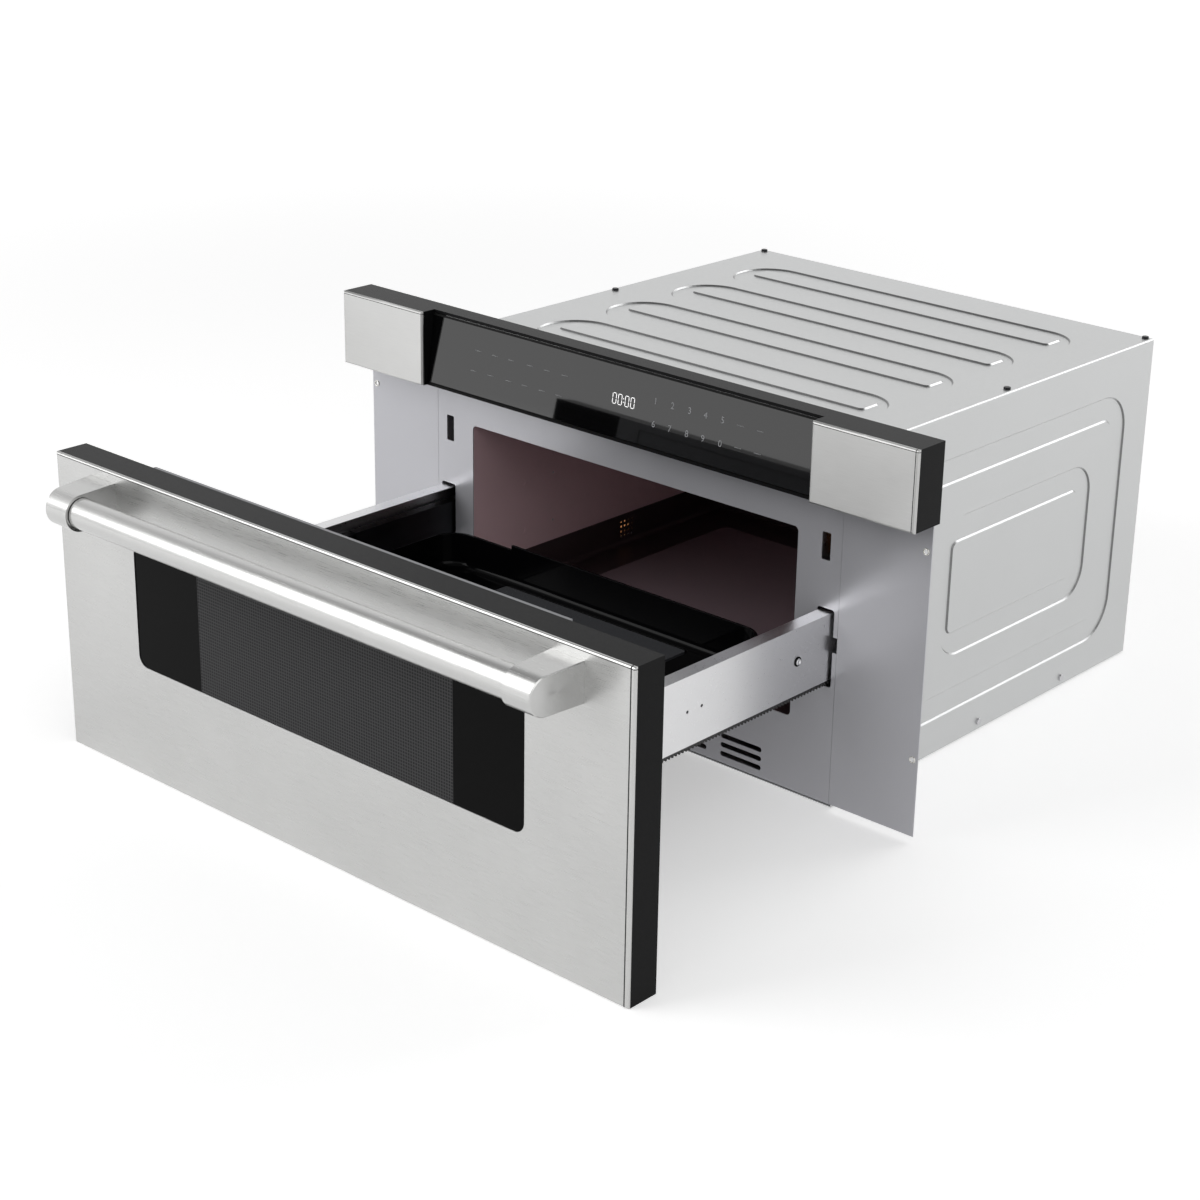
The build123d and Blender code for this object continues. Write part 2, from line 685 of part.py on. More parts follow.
def make_flange():
    """Right-hand mounting flange: a front leaf and a leaf that runs back in the case."""
    inner = PLATE_X + FIT
    leaf = block(inner, FLANGE_X, PLATE_Y, PLATE_BACK, FLANGE_RISE, PLATE_TOP)
    back = block(inner, inner + PLATE_T, PLATE_BACK, PLATE_BACK + FLANGE_RETURN,
                 FLANGE_RISE, BODY_H - 4 * SHEET)
    flange = leaf + back
    for level in (FLANGE_HOLE_LOW, FLANGE_HOLE_HIGH):
        hole_x = FLANGE_X - FLANGE_HOLE_IN
        flange -= rod("Y", (hole_x, PLATE_Y, level), PLATE_T, FLANGE_HOLE)
    return flange


def make_case_screws():
    """Screws of the case: four on top, two low on each side, six at the rear."""
    screws = [pan_head("Z", sign, seat) for sign, seat in TOP_SEATS]
    screws += [pan_head("X", sign, seat) for sign, seat in SIDE_SEATS]
    screws += [pan_head("Y", sign, seat) for sign, seat in REAR_SEATS]
    return group(screws)


# ------------------------------------------------------------------ control strip
def strip_plane(shape):
    """Place a shape drawn on the touch glass: front face at Y = 0, middle at the origin."""
    middle = Pos(0, FACE_Y + CONTROL_SETBACK, STRIP_TOP - STRIP_H / 2)
    return middle * (Rot(-CONTROL_TILT, 0, 0) * shape)


def glass_half_height():
    lean = math.radians(CONTROL_TILT)
    room = STRIP_H / 2 - STRIP_WALL - FIT - GLASS_T * math.sin(lean)
    return room / math.cos(lean)


def make_strip_housing():
    """Dark moulded housing, open at the back, with a recess for the touch glass."""
    front = FACE_Y + SKIN
    back = PLATE_Y + STRIP_WRAP
    house = block(-HALF, HALF, front, back, STRIP_LOW, STRIP_TOP)
    house -= block(-HALF + STRIP_WALL, HALF - STRIP_WALL, front + STRIP_WALL, back,
                   STRIP_LOW + STRIP_WALL, STRIP_TOP - STRIP_WALL)
    house -= block(-FLANGE_X - FIT, FLANGE_X + FIT, PLATE_Y, back, STRIP_LOW,
                   PLATE_TOP + FIT)
    house += both_sides(block(PAD_X, PAD_X + STRIP_WALL, front, PLATE_Y,
                              STRIP_LOW, STRIP_TOP))
    house += both_sides(block(PAD_X + SHEET, HALF - SHEET, FACE_Y + SHEET, front,
                              STRIP_LOW + SHEET, STRIP_TOP - SHEET))
    house -= strip_plane(block(-PAD_X, PAD_X, -FACE_PROUD, 0, -STRIP_H, STRIP_H))
    h = glass_half_height()
    ledge = block(PAD_X - GLASS_LEDGE, PAD_X, GLASS_T, GLASS_T + STRIP_WALL, -h, h)
    return house + both_sides(strip_plane(ledge))


def make_pad():
    """Right-hand stainless pad: a sheet with folded edges over the housing."""
    pad = block(PAD_X, HALF, FACE_Y, FACE_Y + SKIN, STRIP_LOW, STRIP_TOP)
    pad = fillet(pad.faces().sort_by(Axis.Y)[0].edges(), SKIN_ROUND)
    return pad - block(PAD_X + SHEET, HALF - SHEET, FACE_Y + SHEET, FACE_Y + SKIN,
                       STRIP_LOW + SHEET, STRIP_TOP - SHEET)


def make_touch_glass():
    h = glass_half_height()
    x = PAD_X - FIT
    return strip_plane(block(-x, x, 0, GLASS_T, -h, h))


def make_control_board():
    """Touch board on the back of the glass, with the clock module and its plugs."""
    h = glass_half_height() - BOARD_EDGE
    x = PAD_X - GLASS_LEDGE - BOARD_EDGE
    rear = GLASS_T + BOARD_T
    board = block(-x, x, GLASS_T, rear, -h, h)
    clock = block(DISPLAY_X - DISPLAY_W / 2, DISPLAY_X + DISPLAY_W / 2, rear,
                  rear + DISPLAY_T, -DISPLAY_H / 2, DISPLAY_H / 2)
    board += clock
    for col in range(PLUG_COLS):
        plug_x = -x + PLUG_IN + PLUG_PITCH * col
        plug = block(plug_x, plug_x + PLUG_W, rear, rear + PLUG_T, -h / 3, h / 3)
        board += plug
    return strip_plane(board)


# ------------------------------------------------------------------ cavity
def floor_outline(grow, z0, z1):
    """Recess of the ceramic floor plate, widened by grow."""
    x = CAVITY_X - FLOOR_INSET + grow
    return rounded(block(-x, x, PLATE_BACK + FLOOR_INSET - grow,
                         CAVITY_BACK - FLOOR_INSET + grow, z0, z1), "Z", 2 * MOUTH_ROUND)


def lamp_holes():
    """Small holes through the left wall in front of the lamp."""
    holes = None
    for row in range(LAMP_ROWS):
        z = LAMP_LEVEL + (row - (LAMP_ROWS - 1) / 2) * LAMP_PITCH
        for col in range(LAMP_ROWS):
            y = PLATE_Y + LAMP_BACK + (col - (LAMP_ROWS - 1) / 2) * LAMP_PITCH
            hole = rod("X", (-CAVITY_WALL, y, z), SHEET, LAMP_HOLE)
            holes = hole if holes is None else holes + hole
    return holes


def wall_spots():
    """Screw holes and spot welds where the slide brackets meet the cavity walls."""
    spots = None
    for side in (-1, 1):
        start = -CAVITY_WALL if side < 0 else CAVITY_X
        dent = -CAVITY_X - SPOT_DEEP if side < 0 else CAVITY_X
        for rise in (-SPOT_RISE, SPOT_RISE):
            z = RAIL_LEVEL + rise
            hole = rod("X", (start, PLATE_Y + SPOT_HOLE_BACK, z), SHEET, SPOT_HOLE)
            weld = rod("X", (dent, PLATE_Y + SPOT_WELD_BACK, z), SPOT_DEEP, SPOT_WELD)
            pair = hole + weld
            spots = pair if spots is None else spots + pair
    return spots


def make_cavity_box():
    """Painted liner, open at the front, with a recess and a well in its floor."""
    top = CAVITY_TOP + SHEET
    box = rounded(block(-CAVITY_WALL, CAVITY_WALL, PLATE_BACK, CAVITY_BACK + SHEET,
                        CAVITY_FLOOR - SHEET, top), "Y", MOUTH_ROUND + SHEET)
    hollow = rounded(block(-CAVITY_X, CAVITY_X, PLATE_BACK, CAVITY_BACK,
                           CAVITY_FLOOR, CAVITY_TOP), "Y", MOUTH_ROUND)
    ledge = CAVITY_FLOOR - FLOOR_T
    box += floor_outline(SHEET, ledge - SHEET, CAVITY_FLOOR)
    box += rod("Z", (0, ANTENNA_Y, WG_TOP), ledge - WG_TOP, WELL_R + SHEET)
    box -= hollow
    box -= floor_outline(0, ledge, CAVITY_FLOOR)
    box -= rod("Z", (0, ANTENNA_Y, WELL_Z), ledge - WELL_Z, WELL_R)
    box -= rod("Z", (0, ANTENNA_Y, WG_TOP), SHEET, WG_APERTURE)
    return box - lamp_holes() - wall_spots()


def make_floor_plate():
    """Ceramic plate that lies in the floor's recess, over the antenna."""
    return floor_outline(-FIT, CAVITY_FLOOR - FLOOR_T, CAVITY_FLOOR)


def make_slide_brackets():
    """Channels between the cavity walls and the fixed slide members."""
    low = RAIL_LEVEL - SLIDE_H / 2
    high = RAIL_LEVEL + SLIDE_H / 2
    y0 = PLATE_BACK + SLIDE_START
    y1 = y0 + OUTER_L
    web = block(BRACKET_X, SLIDE_X, y0, y1, low, high)
    hollow = block(CAVITY_WALL, BRACKET_X, y0, y1, low + BRACKET_T, high - BRACKET_T)
    arms = block(CAVITY_WALL, BRACKET_X, y0, y1, low, high) - hollow
    feet = block(CAVITY_WALL, CAVITY_WALL + BRACKET_T, y0, y1, low - BRACKET_FOOT,
                 high + BRACKET_FOOT)
    feet -= block(CAVITY_WALL, CAVITY_WALL + BRACKET_T, y0, y1, low + BRACKET_T,
                  high - BRACKET_T)
    bracket = web + arms + feet
    return group([bracket, other_side(bracket)])


# ------------------------------------------------------------------ microwave feed
def make_waveguide():
    """Rectangular duct from the magnetron to the well under the cavity floor."""
    x = WG_W / 2
    y0 = ANTENNA_Y - WG_FRONT
    duct = block(-x, x, y0, WG_BACK, WG_LOW, WG_TOP)
    duct -= block(-x + WG_WALL, x - WG_WALL, y0 + WG_WALL, WG_BACK - WG_WALL,
                  WG_LOW + WG_WALL, WG_TOP - WG_WALL)
    duct -= rod("Z", (0, ANTENNA_Y, WG_TOP - WG_WALL), WG_WALL, WG_APERTURE)
    duct -= rod("Z", (0, ANTENNA_Y, WG_LOW), WG_WALL, STIR_SHAFT + RUN_FIT)
    return duct - rod("Z", (0, BAY_Y, WG_TOP - WG_WALL), WG_WALL, MAG_DOME + FIT)


def make_antenna():
    """Slotted disc that turns in the well, on a shaft down to its motor."""
    disc = rod("Z", (0, ANTENNA_Y, STIR_Z - STIR_T), STIR_T, STIR_R)
    for angle in (90, 210, 330):
        slot = block(STIR_R * 0.45, STIR_R * 0.85, -STIR_SLOT / 2, STIR_SLOT / 2,
                     STIR_Z - STIR_T, STIR_Z)
        slot = rounded(slot, "Z", STIR_SLOT)
        disc -= Pos(0, ANTENNA_Y, 0) * (Rot(0, 0, angle) * slot)
    hub = rod("Z", (0, ANTENNA_Y, STIR_Z - 3 * STIR_T), 3 * STIR_T, STIR_HUB)
    foot = WG_LOW - STIR_MOTOR_H / 2
    return disc + hub + rod("Z", (0, ANTENNA_Y, foot), STIR_Z - foot, STIR_SHAFT)


def make_antenna_motor():
    """Flat synchronous motor under the waveguide."""
    low = WG_LOW - STIR_MOTOR_H
    motor = rod("Z", (0, ANTENNA_Y, low), STIR_MOTOR_H, STIR_MOTOR_R)
    ears = rounded(block(-STIR_MOTOR_R - 9, STIR_MOTOR_R + 9, ANTENNA_Y - 6, ANTENNA_Y + 6,
                         WG_LOW - SHEET, WG_LOW), "Z", 5)
    bore = rod("Z", (0, ANTENNA_Y, WG_LOW - STIR_MOTOR_H / 2), STIR_MOTOR_H / 2,
               STIR_SHAFT + RUN_FIT)
    return motor + ears - bore


def make_magnetron():
    """Magnetron with its yoke, magnets, cooling fins, filter box and output dome."""
    x = MAG_W / 2
    y0 = BAY_Y - MAG_D / 2
    y1 = BAY_Y + MAG_D / 2
    z1 = WG_TOP + MAG_H
    yoke = block(-x, x, y0, y1, WG_TOP, z1)
    yoke -= block(-x, x, y0 + MAG_PLATE, y1 - MAG_PLATE, WG_TOP + MAG_PLATE, z1 - MAG_PLATE)
    low = WG_TOP + MAG_PLATE
    high = z1 - MAG_PLATE
    tube = yoke + rod("Z", (0, BAY_Y, low), high - low, MAG_ANODE)
    tube += rod("Z", (0, BAY_Y, low), MAG_MAGNET_H, MAG_MAGNET)
    tube += rod("Z", (0, BAY_Y, high - MAG_MAGNET_H), MAG_MAGNET_H, MAG_MAGNET)
    gap = (high - low - 2 * MAG_MAGNET_H) / (MAG_FINS + 1)
    for fin in range(MAG_FINS):
        z = low + MAG_MAGNET_H + gap * (fin + 1)
        tube += block(-x, x, y0 + MAG_PLATE, y1 - MAG_PLATE, z - MAG_FIN_T / 2,
                      z + MAG_FIN_T / 2)
    tube += block(-MAG_BOX / 2, MAG_BOX / 2, BAY_Y - MAG_BOX / 2, BAY_Y + MAG_BOX / 2,
                  z1, z1 + MAG_BOX_H)
    return tube + rod("Z", (0, BAY_Y, WG_TOP - MAG_DOME_H), MAG_DOME_H, MAG_DOME)


# ------------------------------------------------------------------ cooling fan
def fan_half():
    return FAN_SIZE / 2


def make_fan_frame():
    """Square fan frame on two legs, with struts that carry the motor."""
    half = fan_half()
    x1 = FAN_X + FAN_T
    frame = block(FAN_X, x1, BAY_Y - half, BAY_Y + half, FAN_LEVEL - half, FAN_LEVEL + half)
    bore = half - FAN_WALL
    frame -= rod("X", (FAN_X, BAY_Y, FAN_LEVEL), FAN_T, bore)
    x0 = x1 - FAN_STRUT_T
    arm = block(x0, x1, -FAN_STRUT / 2, FAN_STRUT / 2, -half + 1, half - 1)
    for angle in (45, 135):
        frame += Pos(0, BAY_Y, FAN_LEVEL) * (Rot(angle, 0, 0) * arm)
    frame += rod("X", (x0, BAY_Y, FAN_LEVEL), FAN_STRUT_T, FAN_MOTOR_R)
    for side in (-1, 1):
        y = BAY_Y + side * (half - FAN_LEG / 2)
        frame += block(FAN_X, x1, y - FAN_LEG / 2, y + FAN_LEG / 2, SHEET,
                       FAN_LEVEL - half)
    return frame


def make_fan_motor():
    """Fan motor on the struts; the impeller's shaft runs in its bore."""
    x1 = FAN_X + FAN_T - FAN_STRUT_T
    motor = rod("X", (x1 - FAN_MOTOR_T, BAY_Y, FAN_LEVEL), FAN_MOTOR_T, FAN_MOTOR_R)
    return motor - rod("X", (x1 - FAN_MOTOR_T, BAY_Y, FAN_LEVEL), FAN_MOTOR_T,
                       SHAFT_R + RUN_FIT)


def make_fan_impeller():
    """Impeller with tilted blades round a hub, on a shaft into the motor."""
    x1 = FAN_X + FAN_T - FAN_STRUT_T - FAN_MOTOR_T - FIT
    x0 = x1 - FAN_HUB_T
    wheel = rod("X", (x0, BAY_Y, FAN_LEVEL), FAN_HUB_T, FAN_HUB)
    tip = fan_half() - FAN_WALL - FAN_GAP
    swept = rod("X", (x0, 0, 0), FAN_HUB_T, tip)
    for count in range(FAN_BLADES):
        blade = block(-FAN_BLADE_T / 2, FAN_BLADE_T / 2, -FAN_HUB_T, FAN_HUB_T,
                      FAN_HUB - 3, tip + 2)
        blade = Rot(0, 0, FAN_BLADE_TILT) * blade
        blade = Pos(x0 + FAN_HUB_T / 2, 0, 0) * blade
        blade = (Rot(360 / FAN_BLADES * count, 0, 0) * blade) & swept
        wheel += Pos(0, BAY_Y, FAN_LEVEL) * blade
    return wheel + rod("X", (x1, BAY_Y, FAN_LEVEL), FAN_MOTOR_T, SHAFT_R)


def make_air_duct():
    """Duct from the fan to the magnetron's fins."""
    half = fan_half()
    x0 = MAG_W / 2 + FIT
    y0 = BAY_Y - MAG_D / 2
    y1 = BAY_Y + MAG_D / 2
    z0 = WG_TOP + FIT
    z1 = WG_TOP + MAG_H
    duct = block(x0, FAN_X, y0, y1, z0, z1)
    duct += block(FAN_X - DUCT_WALL, FAN_X, BAY_Y - half, BAY_Y + half, FAN_LEVEL - half,
                  FAN_LEVEL + half)
    return duct - block(x0, FAN_X, y0 + DUCT_WALL, y1 - DUCT_WALL, z0 + DUCT_WALL,
                        z1 - DUCT_WALL)


# ------------------------------------------------------------------ power parts
def make_transformer():
    """High-voltage transformer: laminated core and two windings, on the base pan."""
    y0 = BAY_Y - CORE_D / 2
    y1 = BAY_Y + CORE_D / 2
    core = block(CORE_X - CORE_W / 2, CORE_X + CORE_W / 2, y0, y1, SHEET, SHEET + CORE_H)
    quarter = CORE_W / 4
    for level in (0.32, 0.68):
        z = SHEET + CORE_H * level
        coil = block(CORE_X - quarter - COIL_BULGE / 2, CORE_X + quarter + COIL_BULGE / 2,
                     y0 - COIL_BULGE, y1 + COIL_BULGE, z - CORE_H * 0.15, z + CORE_H * 0.15)
        core += rounded(coil, "Z", COIL_ROUND)
    return core


def make_capacitor():
    """High-voltage capacitor can with two blade terminals, on the base pan."""
    can = block(CAP_X - CAP_W / 2, CAP_X + CAP_W / 2, BAY_Y - CAP_D / 2, BAY_Y + CAP_D / 2,
                SHEET, SHEET + CAP_H)
    can = rounded(can, "Z", CAP_ROUND)
    top = SHEET + CAP_H
    for side in (-1, 1):
        x = CAP_X + side * CAP_W / 4
        can += block(x - TAB_W / 2, x + TAB_W / 2, BAY_Y - TAB_T / 2, BAY_Y + TAB_T / 2,
                     top, top + TAB_H)
    return can


def make_power_board():
    """Power board on four standoffs behind the cavity, with its larger components."""
    wall = CAVITY_BACK + SHEET
    y0 = wall + STANDOFF
    y1 = y0 + BOARD_T
    w = POWER_W / 2
    h = POWER_H / 2
    board = block(POWER_X - w, POWER_X + w, y0, y1, POWER_LEVEL - h, POWER_LEVEL + h)
    for sx in (-1, 1):
        for sz in (-1, 1):
            board += rod("Y", (POWER_X + sx * (w - POWER_EDGE), wall,
                               POWER_LEVEL + sz * (h - POWER_EDGE)), STANDOFF, STANDOFF_R)
    relay_w = POWER_W / 7
    for col in range(3):
        x = POWER_X - w + relay_w * (1 + 2 * col)
        board += block(x - relay_w / 2, x + relay_w / 2, y1, y1 + relay_w,
                       POWER_LEVEL - relay_w / 2, POWER_LEVEL + relay_w)
    return board


def lamp_y():
    return PLATE_Y + LAMP_BACK


def make_lamp_holder():
    """Lamp box on the outside of the left cavity wall, with the bulb's socket."""
    half = LAMP_BOX / 2
    y = lamp_y()
    x0 = -CAVITY_WALL - LAMP_BOX_T
    box = block(x0, -CAVITY_WALL, y - half, y + half, LAMP_LEVEL - half / 2,
                LAMP_LEVEL + half / 2)
    box -= block(x0 + LAMP_WALL, -CAVITY_WALL, y - half + LAMP_WALL, y + half - LAMP_WALL,
                 LAMP_LEVEL - half / 2 + LAMP_WALL, LAMP_LEVEL + half / 2 - LAMP_WALL)
    socket = rod("Y", (x0 + LAMP_BOX_T / 2, y + half - LAMP_WALL - SOCKET_L, LAMP_LEVEL),
                 SOCKET_L + LAMP_WALL, BULB_R + LAMP_WALL)
    return box + socket


def make_lamp_bulb():
    """Capsule bulb, held in the socket."""
    y1 = lamp_y() + LAMP_BOX / 2 - LAMP_WALL - SOCKET_L
    bulb = rod("Y", (-CAVITY_WALL - LAMP_BOX_T / 2, y1 - BULB_L, LAMP_LEVEL), BULB_L, BULB_R)
    return fillet(bulb.edges().group_by(Axis.Y)[0], BULB_R * 0.8)


def make_thermal_cutout():
    """Thermal cutout on the cavity's roof."""
    z = CAVITY_TOP + SHEET
    plate = rounded(block(CUTOUT_X - CUTOUT_PLATE / 2, CUTOUT_X + CUTOUT_PLATE / 2,
                          ANTENNA_Y - CUTOUT_R, ANTENNA_Y + CUTOUT_R, z, z + SHEET), "Z", 6)
    can = plate + rod("Z", (CUTOUT_X, ANTENNA_Y, z), CUTOUT_H, CUTOUT_R)
    for side in (-1, 1):
        x = CUTOUT_X + side * CUTOUT_R / 2
        can += block(x - TAB_T / 2, x + TAB_T / 2, ANTENNA_Y - TAB_W / 2,
                     ANTENNA_Y + TAB_W / 2, z + CUTOUT_H, z + CUTOUT_H + TAB_H)
    return can


# ------------------------------------------------------------------ slides and rails
def channel(x0, depth, half, y0, y1):
    """Channel along Y with its web at x0 and its flanges towards +X or -X."""
    sign = 1 if depth > 0 else -1
    body = block(x0, x0 + depth, y0, y1, RAIL_LEVEL - half, RAIL_LEVEL + half)
    return body - block(x0 + sign * SLIDE_T, x0 + depth, y0, y1,
                        RAIL_LEVEL - half + SLIDE_T, RAIL_LEVEL + half - SLIDE_T)


def slide_room():
    """Space between the fixed member's web and the rail's web."""
    return RAIL_X - SHEET - SLIDE_X


def make_slide_fixed():
    y0 = PLATE_BACK + SLIDE_START
    return channel(SLIDE_X, slide_room() - 2 * SLIDE_T, SLIDE_H / 2, y0, y0 + OUTER_L)


def make_slide_middle():
    """Middle member: nested in the fixed one, its mouth towards the rail."""
    y0 = PLATE_Y - MIDDLE_OUT
    half = SLIDE_H / 2 - SLIDE_T - FIT
    x0 = SLIDE_X + SLIDE_T + FIT
    return channel(x0, slide_room() - 3 * SLIDE_T - FIT, half, y0, y0 + MIDDLE_L)


def make_slide_drawer():
    """Drawer member: flat on the rail's web, its flanges inside the middle one."""
    y0 = DOOR_BACK + INNER_START
    half = SLIDE_H / 2 - 2 * SLIDE_T - 2 * FIT
    depth = slide_room() - 2 * SLIDE_T - 2 * FIT
    return channel(RAIL_X - SHEET, -depth, half, y0, y0 + INNER_L)


def make_rail():
    """Right-hand drawer rail: a folded channel, closed at the drawer front."""
    y1 = DOOR_BACK + RAIL_L
    low = RAIL_LOW
    high = RAIL_LEVEL + RAIL_H / 2
    inner = RAIL_X - RAIL_FLANGE
    rail = block(inner, RAIL_X, DOOR_BACK, y1, low, high)
    rail -= block(inner, RAIL_X - SHEET, DOOR_BACK + SHEET, y1, low + SHEET, high - SHEET)
    for step in (0, RAIL_HOLE_PITCH):
        y = DOOR_BACK + RAIL_HOLE_AT + step
        rail -= rod("X", (RAIL_X - SHEET, y, RAIL_LEVEL), SHEET, RAIL_HOLE)
    return rail - rod("X", (RAIL_X - SHEET / 2, DOOR_BACK + RAIL_DIMPLE_AT, RAIL_LEVEL),
                      SHEET / 2, RAIL_DIMPLE)


# ------------------------------------------------------------------ drive
def make_drive_rack():
    """Rack under the right-hand rail; a tooth space stands over the pinion at rest."""
    start = DOOR_BACK + RACK_SKIP
    end = DOOR_BACK + RAIL_L
    lean = math.tan(math.radians(PRESSURE))
    thick = TOOTH_PITCH / 2 - BACKLASH / 2
    root = thick / 2 + DEDENDUM * lean
    tip = thick / 2 - MODULE * lean
    points = [(start, RAIL_LOW), (start, TOOTH_ROOT)]
    first = math.ceil((start - PINION_Y) / TOOTH_PITCH)
    last = math.floor((end - PINION_Y) / TOOTH_PITCH) - 1
    for count in range(first, last + 1):
        y = PINION_Y + (count + 0.5) * TOOTH_PITCH
        points += [(y - root, TOOTH_ROOT), (y - tip, RACK_LOW),
                   (y + tip, RACK_LOW), (y + root, TOOTH_ROOT)]
    points += [(end, TOOTH_ROOT), (end, RAIL_LOW)]
    return prism_x(points, RACK_X - RACK_W / 2, RACK_X + RACK_W / 2)


def tooth_flank(radius):
    """Half angle of a pinion tooth at a radius, from its involute."""
    base = PITCH_R * math.cos(math.radians(PRESSURE))
    half = (TOOTH_PITCH / 2 - BACKLASH / 2) / (2 * PITCH_R)

    def roll(r):
        press = math.acos(min(base / r, 1.0))
        return math.tan(press) - press

    return half + roll(PITCH_R) - roll(max(radius, base))


def make_drive_pinion():
    """Spur pinion that drives the rack, with its shaft into the gear motor."""
    tip = PITCH_R + 0.9 * MODULE
    root = PITCH_R - DEDENDUM
    radii = [root] + [PITCH_R + MODULE * step for step in (-0.55, 0.0, 0.5, 0.9)]
    outline = []
    for count in range(PINION_TEETH):
        middle = math.pi / 2 + 2 * math.pi * count / PINION_TEETH
        rising = [(r, middle - tooth_flank(r)) for r in radii]
        falling = [(r, middle + tooth_flank(r)) for r in reversed(radii)]
        for r, angle in rising + falling:
            outline.append((PINION_Y + r * math.cos(angle), PINION_Z + r * math.sin(angle)))
    gear = prism_x(outline, RACK_X - RACK_W / 2, RACK_X + RACK_W / 2)
    start = MOUNT_X - MOUNT_T - SHAFT_DEPTH
    length = RACK_X + RACK_W / 2 - start
    return gear + rod("X", (start, PINION_Y, PINION_Z), length, SHAFT_R)


def make_motor_mount():
    """Angle of sheet on the back of the front plate, which carries the gear motor."""
    x0 = MOUNT_X - MOUNT_T
    z0 = PINION_Z - MOTOR_R
    z1 = PINION_Z + MOTOR_R
    arm = block(x0, MOUNT_X, PLATE_BACK, PINION_Y + MOTOR_R, z0, z1)
    foot = block(x0 - MOUNT_FOOT, MOUNT_X, PLATE_BACK, PLATE_BACK + MOUNT_T, z0,
                 RACK_LOW - PORT_GAP)
    return arm + foot - rod("X", (x0, PINION_Y, PINION_Z), MOUNT_T, SHAFT_R + RUN_FIT)


def make_drive_motor():
    """Gear motor on the mount; the pinion's shaft runs in its bore."""
    x1 = MOUNT_X - MOUNT_T
    motor = rod("X", (x1 - MOTOR_T, PINION_Y, PINION_Z), MOTOR_T, MOTOR_R)
    motor = fillet(motor.edges().group_by(Axis.X)[0], 2.0)
    return motor - rod("X", (x1 - SHAFT_DEPTH, PINION_Y, PINION_Z), SHAFT_DEPTH,
                       SHAFT_R + RUN_FIT)


# ------------------------------------------------------------------ interlocks
def interlock_x():
    """Outer face of the right-hand bracket's arm."""
    return LATCH_X - LATCH_W / 2 - FIT


def make_interlock_brackets():
    """Angles beside the latch slots, with the bearings of the levers' pins."""
    x1 = interlock_x()
    x0 = x1 - INTERLOCK_T
    z0 = LATCH_LEVEL - INTERLOCK_H / 2
    z1 = LATCH_LEVEL + INTERLOCK_H / 2
    y1 = LEVER_Y + LEVER_T + SWITCH_GAP + SWITCH_D + 2
    arm = block(x0, x1, PLATE_BACK, y1, z0, z1)
    foot = block(x0 - INTERLOCK_FOOT, x1, PLATE_BACK, PLATE_BACK + INTERLOCK_T, z0, z1)
    pin = (x0, LEVER_Y + LEVER_PIN + LEVER_T, LEVER_TOP)
    bracket = arm + foot - rod("X", pin, INTERLOCK_T, LEVER_PIN + RUN_FIT)
    return group([bracket, other_side(bracket)])


def make_interlock_switches():
    """Switches on the brackets' arms, behind the levers."""
    x0 = interlock_x()
    y0 = LEVER_Y + LEVER_T + SWITCH_GAP
    body = block(x0, x0 + SWITCH_W, y0, y0 + SWITCH_D, LATCH_LEVEL - SWITCH_H / 2,
                 LATCH_LEVEL + SWITCH_H / 2)
    for row in (-1, 0, 1):
        z = LATCH_LEVEL + row * SWITCH_H / 4
        body += block(x0 + SWITCH_W / 2 - TAB_T / 2, x0 + SWITCH_W / 2 + TAB_T / 2,
                      y0 + SWITCH_D, y0 + SWITCH_D + TAB_H, z - TAB_W / 3, z + TAB_W / 3)
    return group([body, other_side(body)])


def make_interlock_lever():
    """Right-hand lever that hangs from its pin between the hook and the switch."""
    x0 = interlock_x() + FIT
    leaf = block(x0, x0 + LEVER_W, LEVER_Y, LEVER_Y + LEVER_T, LEVER_TOP - LEVER_H,
                 LEVER_TOP)
    pin_y = LEVER_Y + LEVER_PIN + LEVER_T
    curl = rod("X", (x0, pin_y, LEVER_TOP), LEVER_W, LEVER_PIN + LEVER_T)
    curl += block(x0, x0 + LEVER_W, LEVER_Y, pin_y, LEVER_TOP - LEVER_PIN, LEVER_TOP)
    pin = rod("X", (x0 - FIT - INTERLOCK_T, pin_y, LEVER_TOP), FIT + INTERLOCK_T + LEVER_W,
              LEVER_PIN)
    return leaf + curl + pin


def make_latch_hooks():
    """Hooks on the back of the drawer front; shut, they reach through the slots."""
    w = LATCH_W / 2 - HOOK_CLEAR
    h = LATCH_H / 2 - HOOK_CLEAR
    y0 = DOOR_BACK
    y1 = DOOR_BACK + HOOK_L
    x0 = LATCH_X - w
    x1 = LATCH_X + w
    arm = block(x0, x1, y0, y1, LATCH_LEVEL - h + HOOK_NOSE, LATCH_LEVEL + h)
    arm += block(x0, x1, y0, y0 + HOOK_NOSE, LATCH_LEVEL - h, LATCH_LEVEL + h)
    nose = block(x0, x1, y1 - HOOK_NOSE, y1, LATCH_LEVEL - h, LATCH_LEVEL)
    hook = arm + nose
    return group([hook, other_side(hook)])


# ------------------------------------------------------------------ drawer front
def window(grow, y0, y1):
    """Window outline through the drawer front, widened by grow."""
    x = WINDOW_X + grow
    return rounded(block(WINDOW_SHIFT - x, WINDOW_SHIFT + x, y0, y1, WINDOW_LOW - grow,
                         WINDOW_TOP + grow), "Y", WINDOW_ROUND)


def handle_seats():
    """Screw axes of the two handle posts, as X and Z."""
    return [(side * POST_X, BAR_Z + rise) for side in (-1, 1)
            for rise in (-HANDLE_SCREW_PITCH / 2, HANDLE_SCREW_PITCH / 2)]


def handle_bolts(radius, y0, y1):
    bolts = None
    for x, z in handle_seats():
        bolt = rod("Y", (x, y0, z), y1 - y0, radius)
        bolts = bolt if bolts is None else bolts + bolt
    return bolts


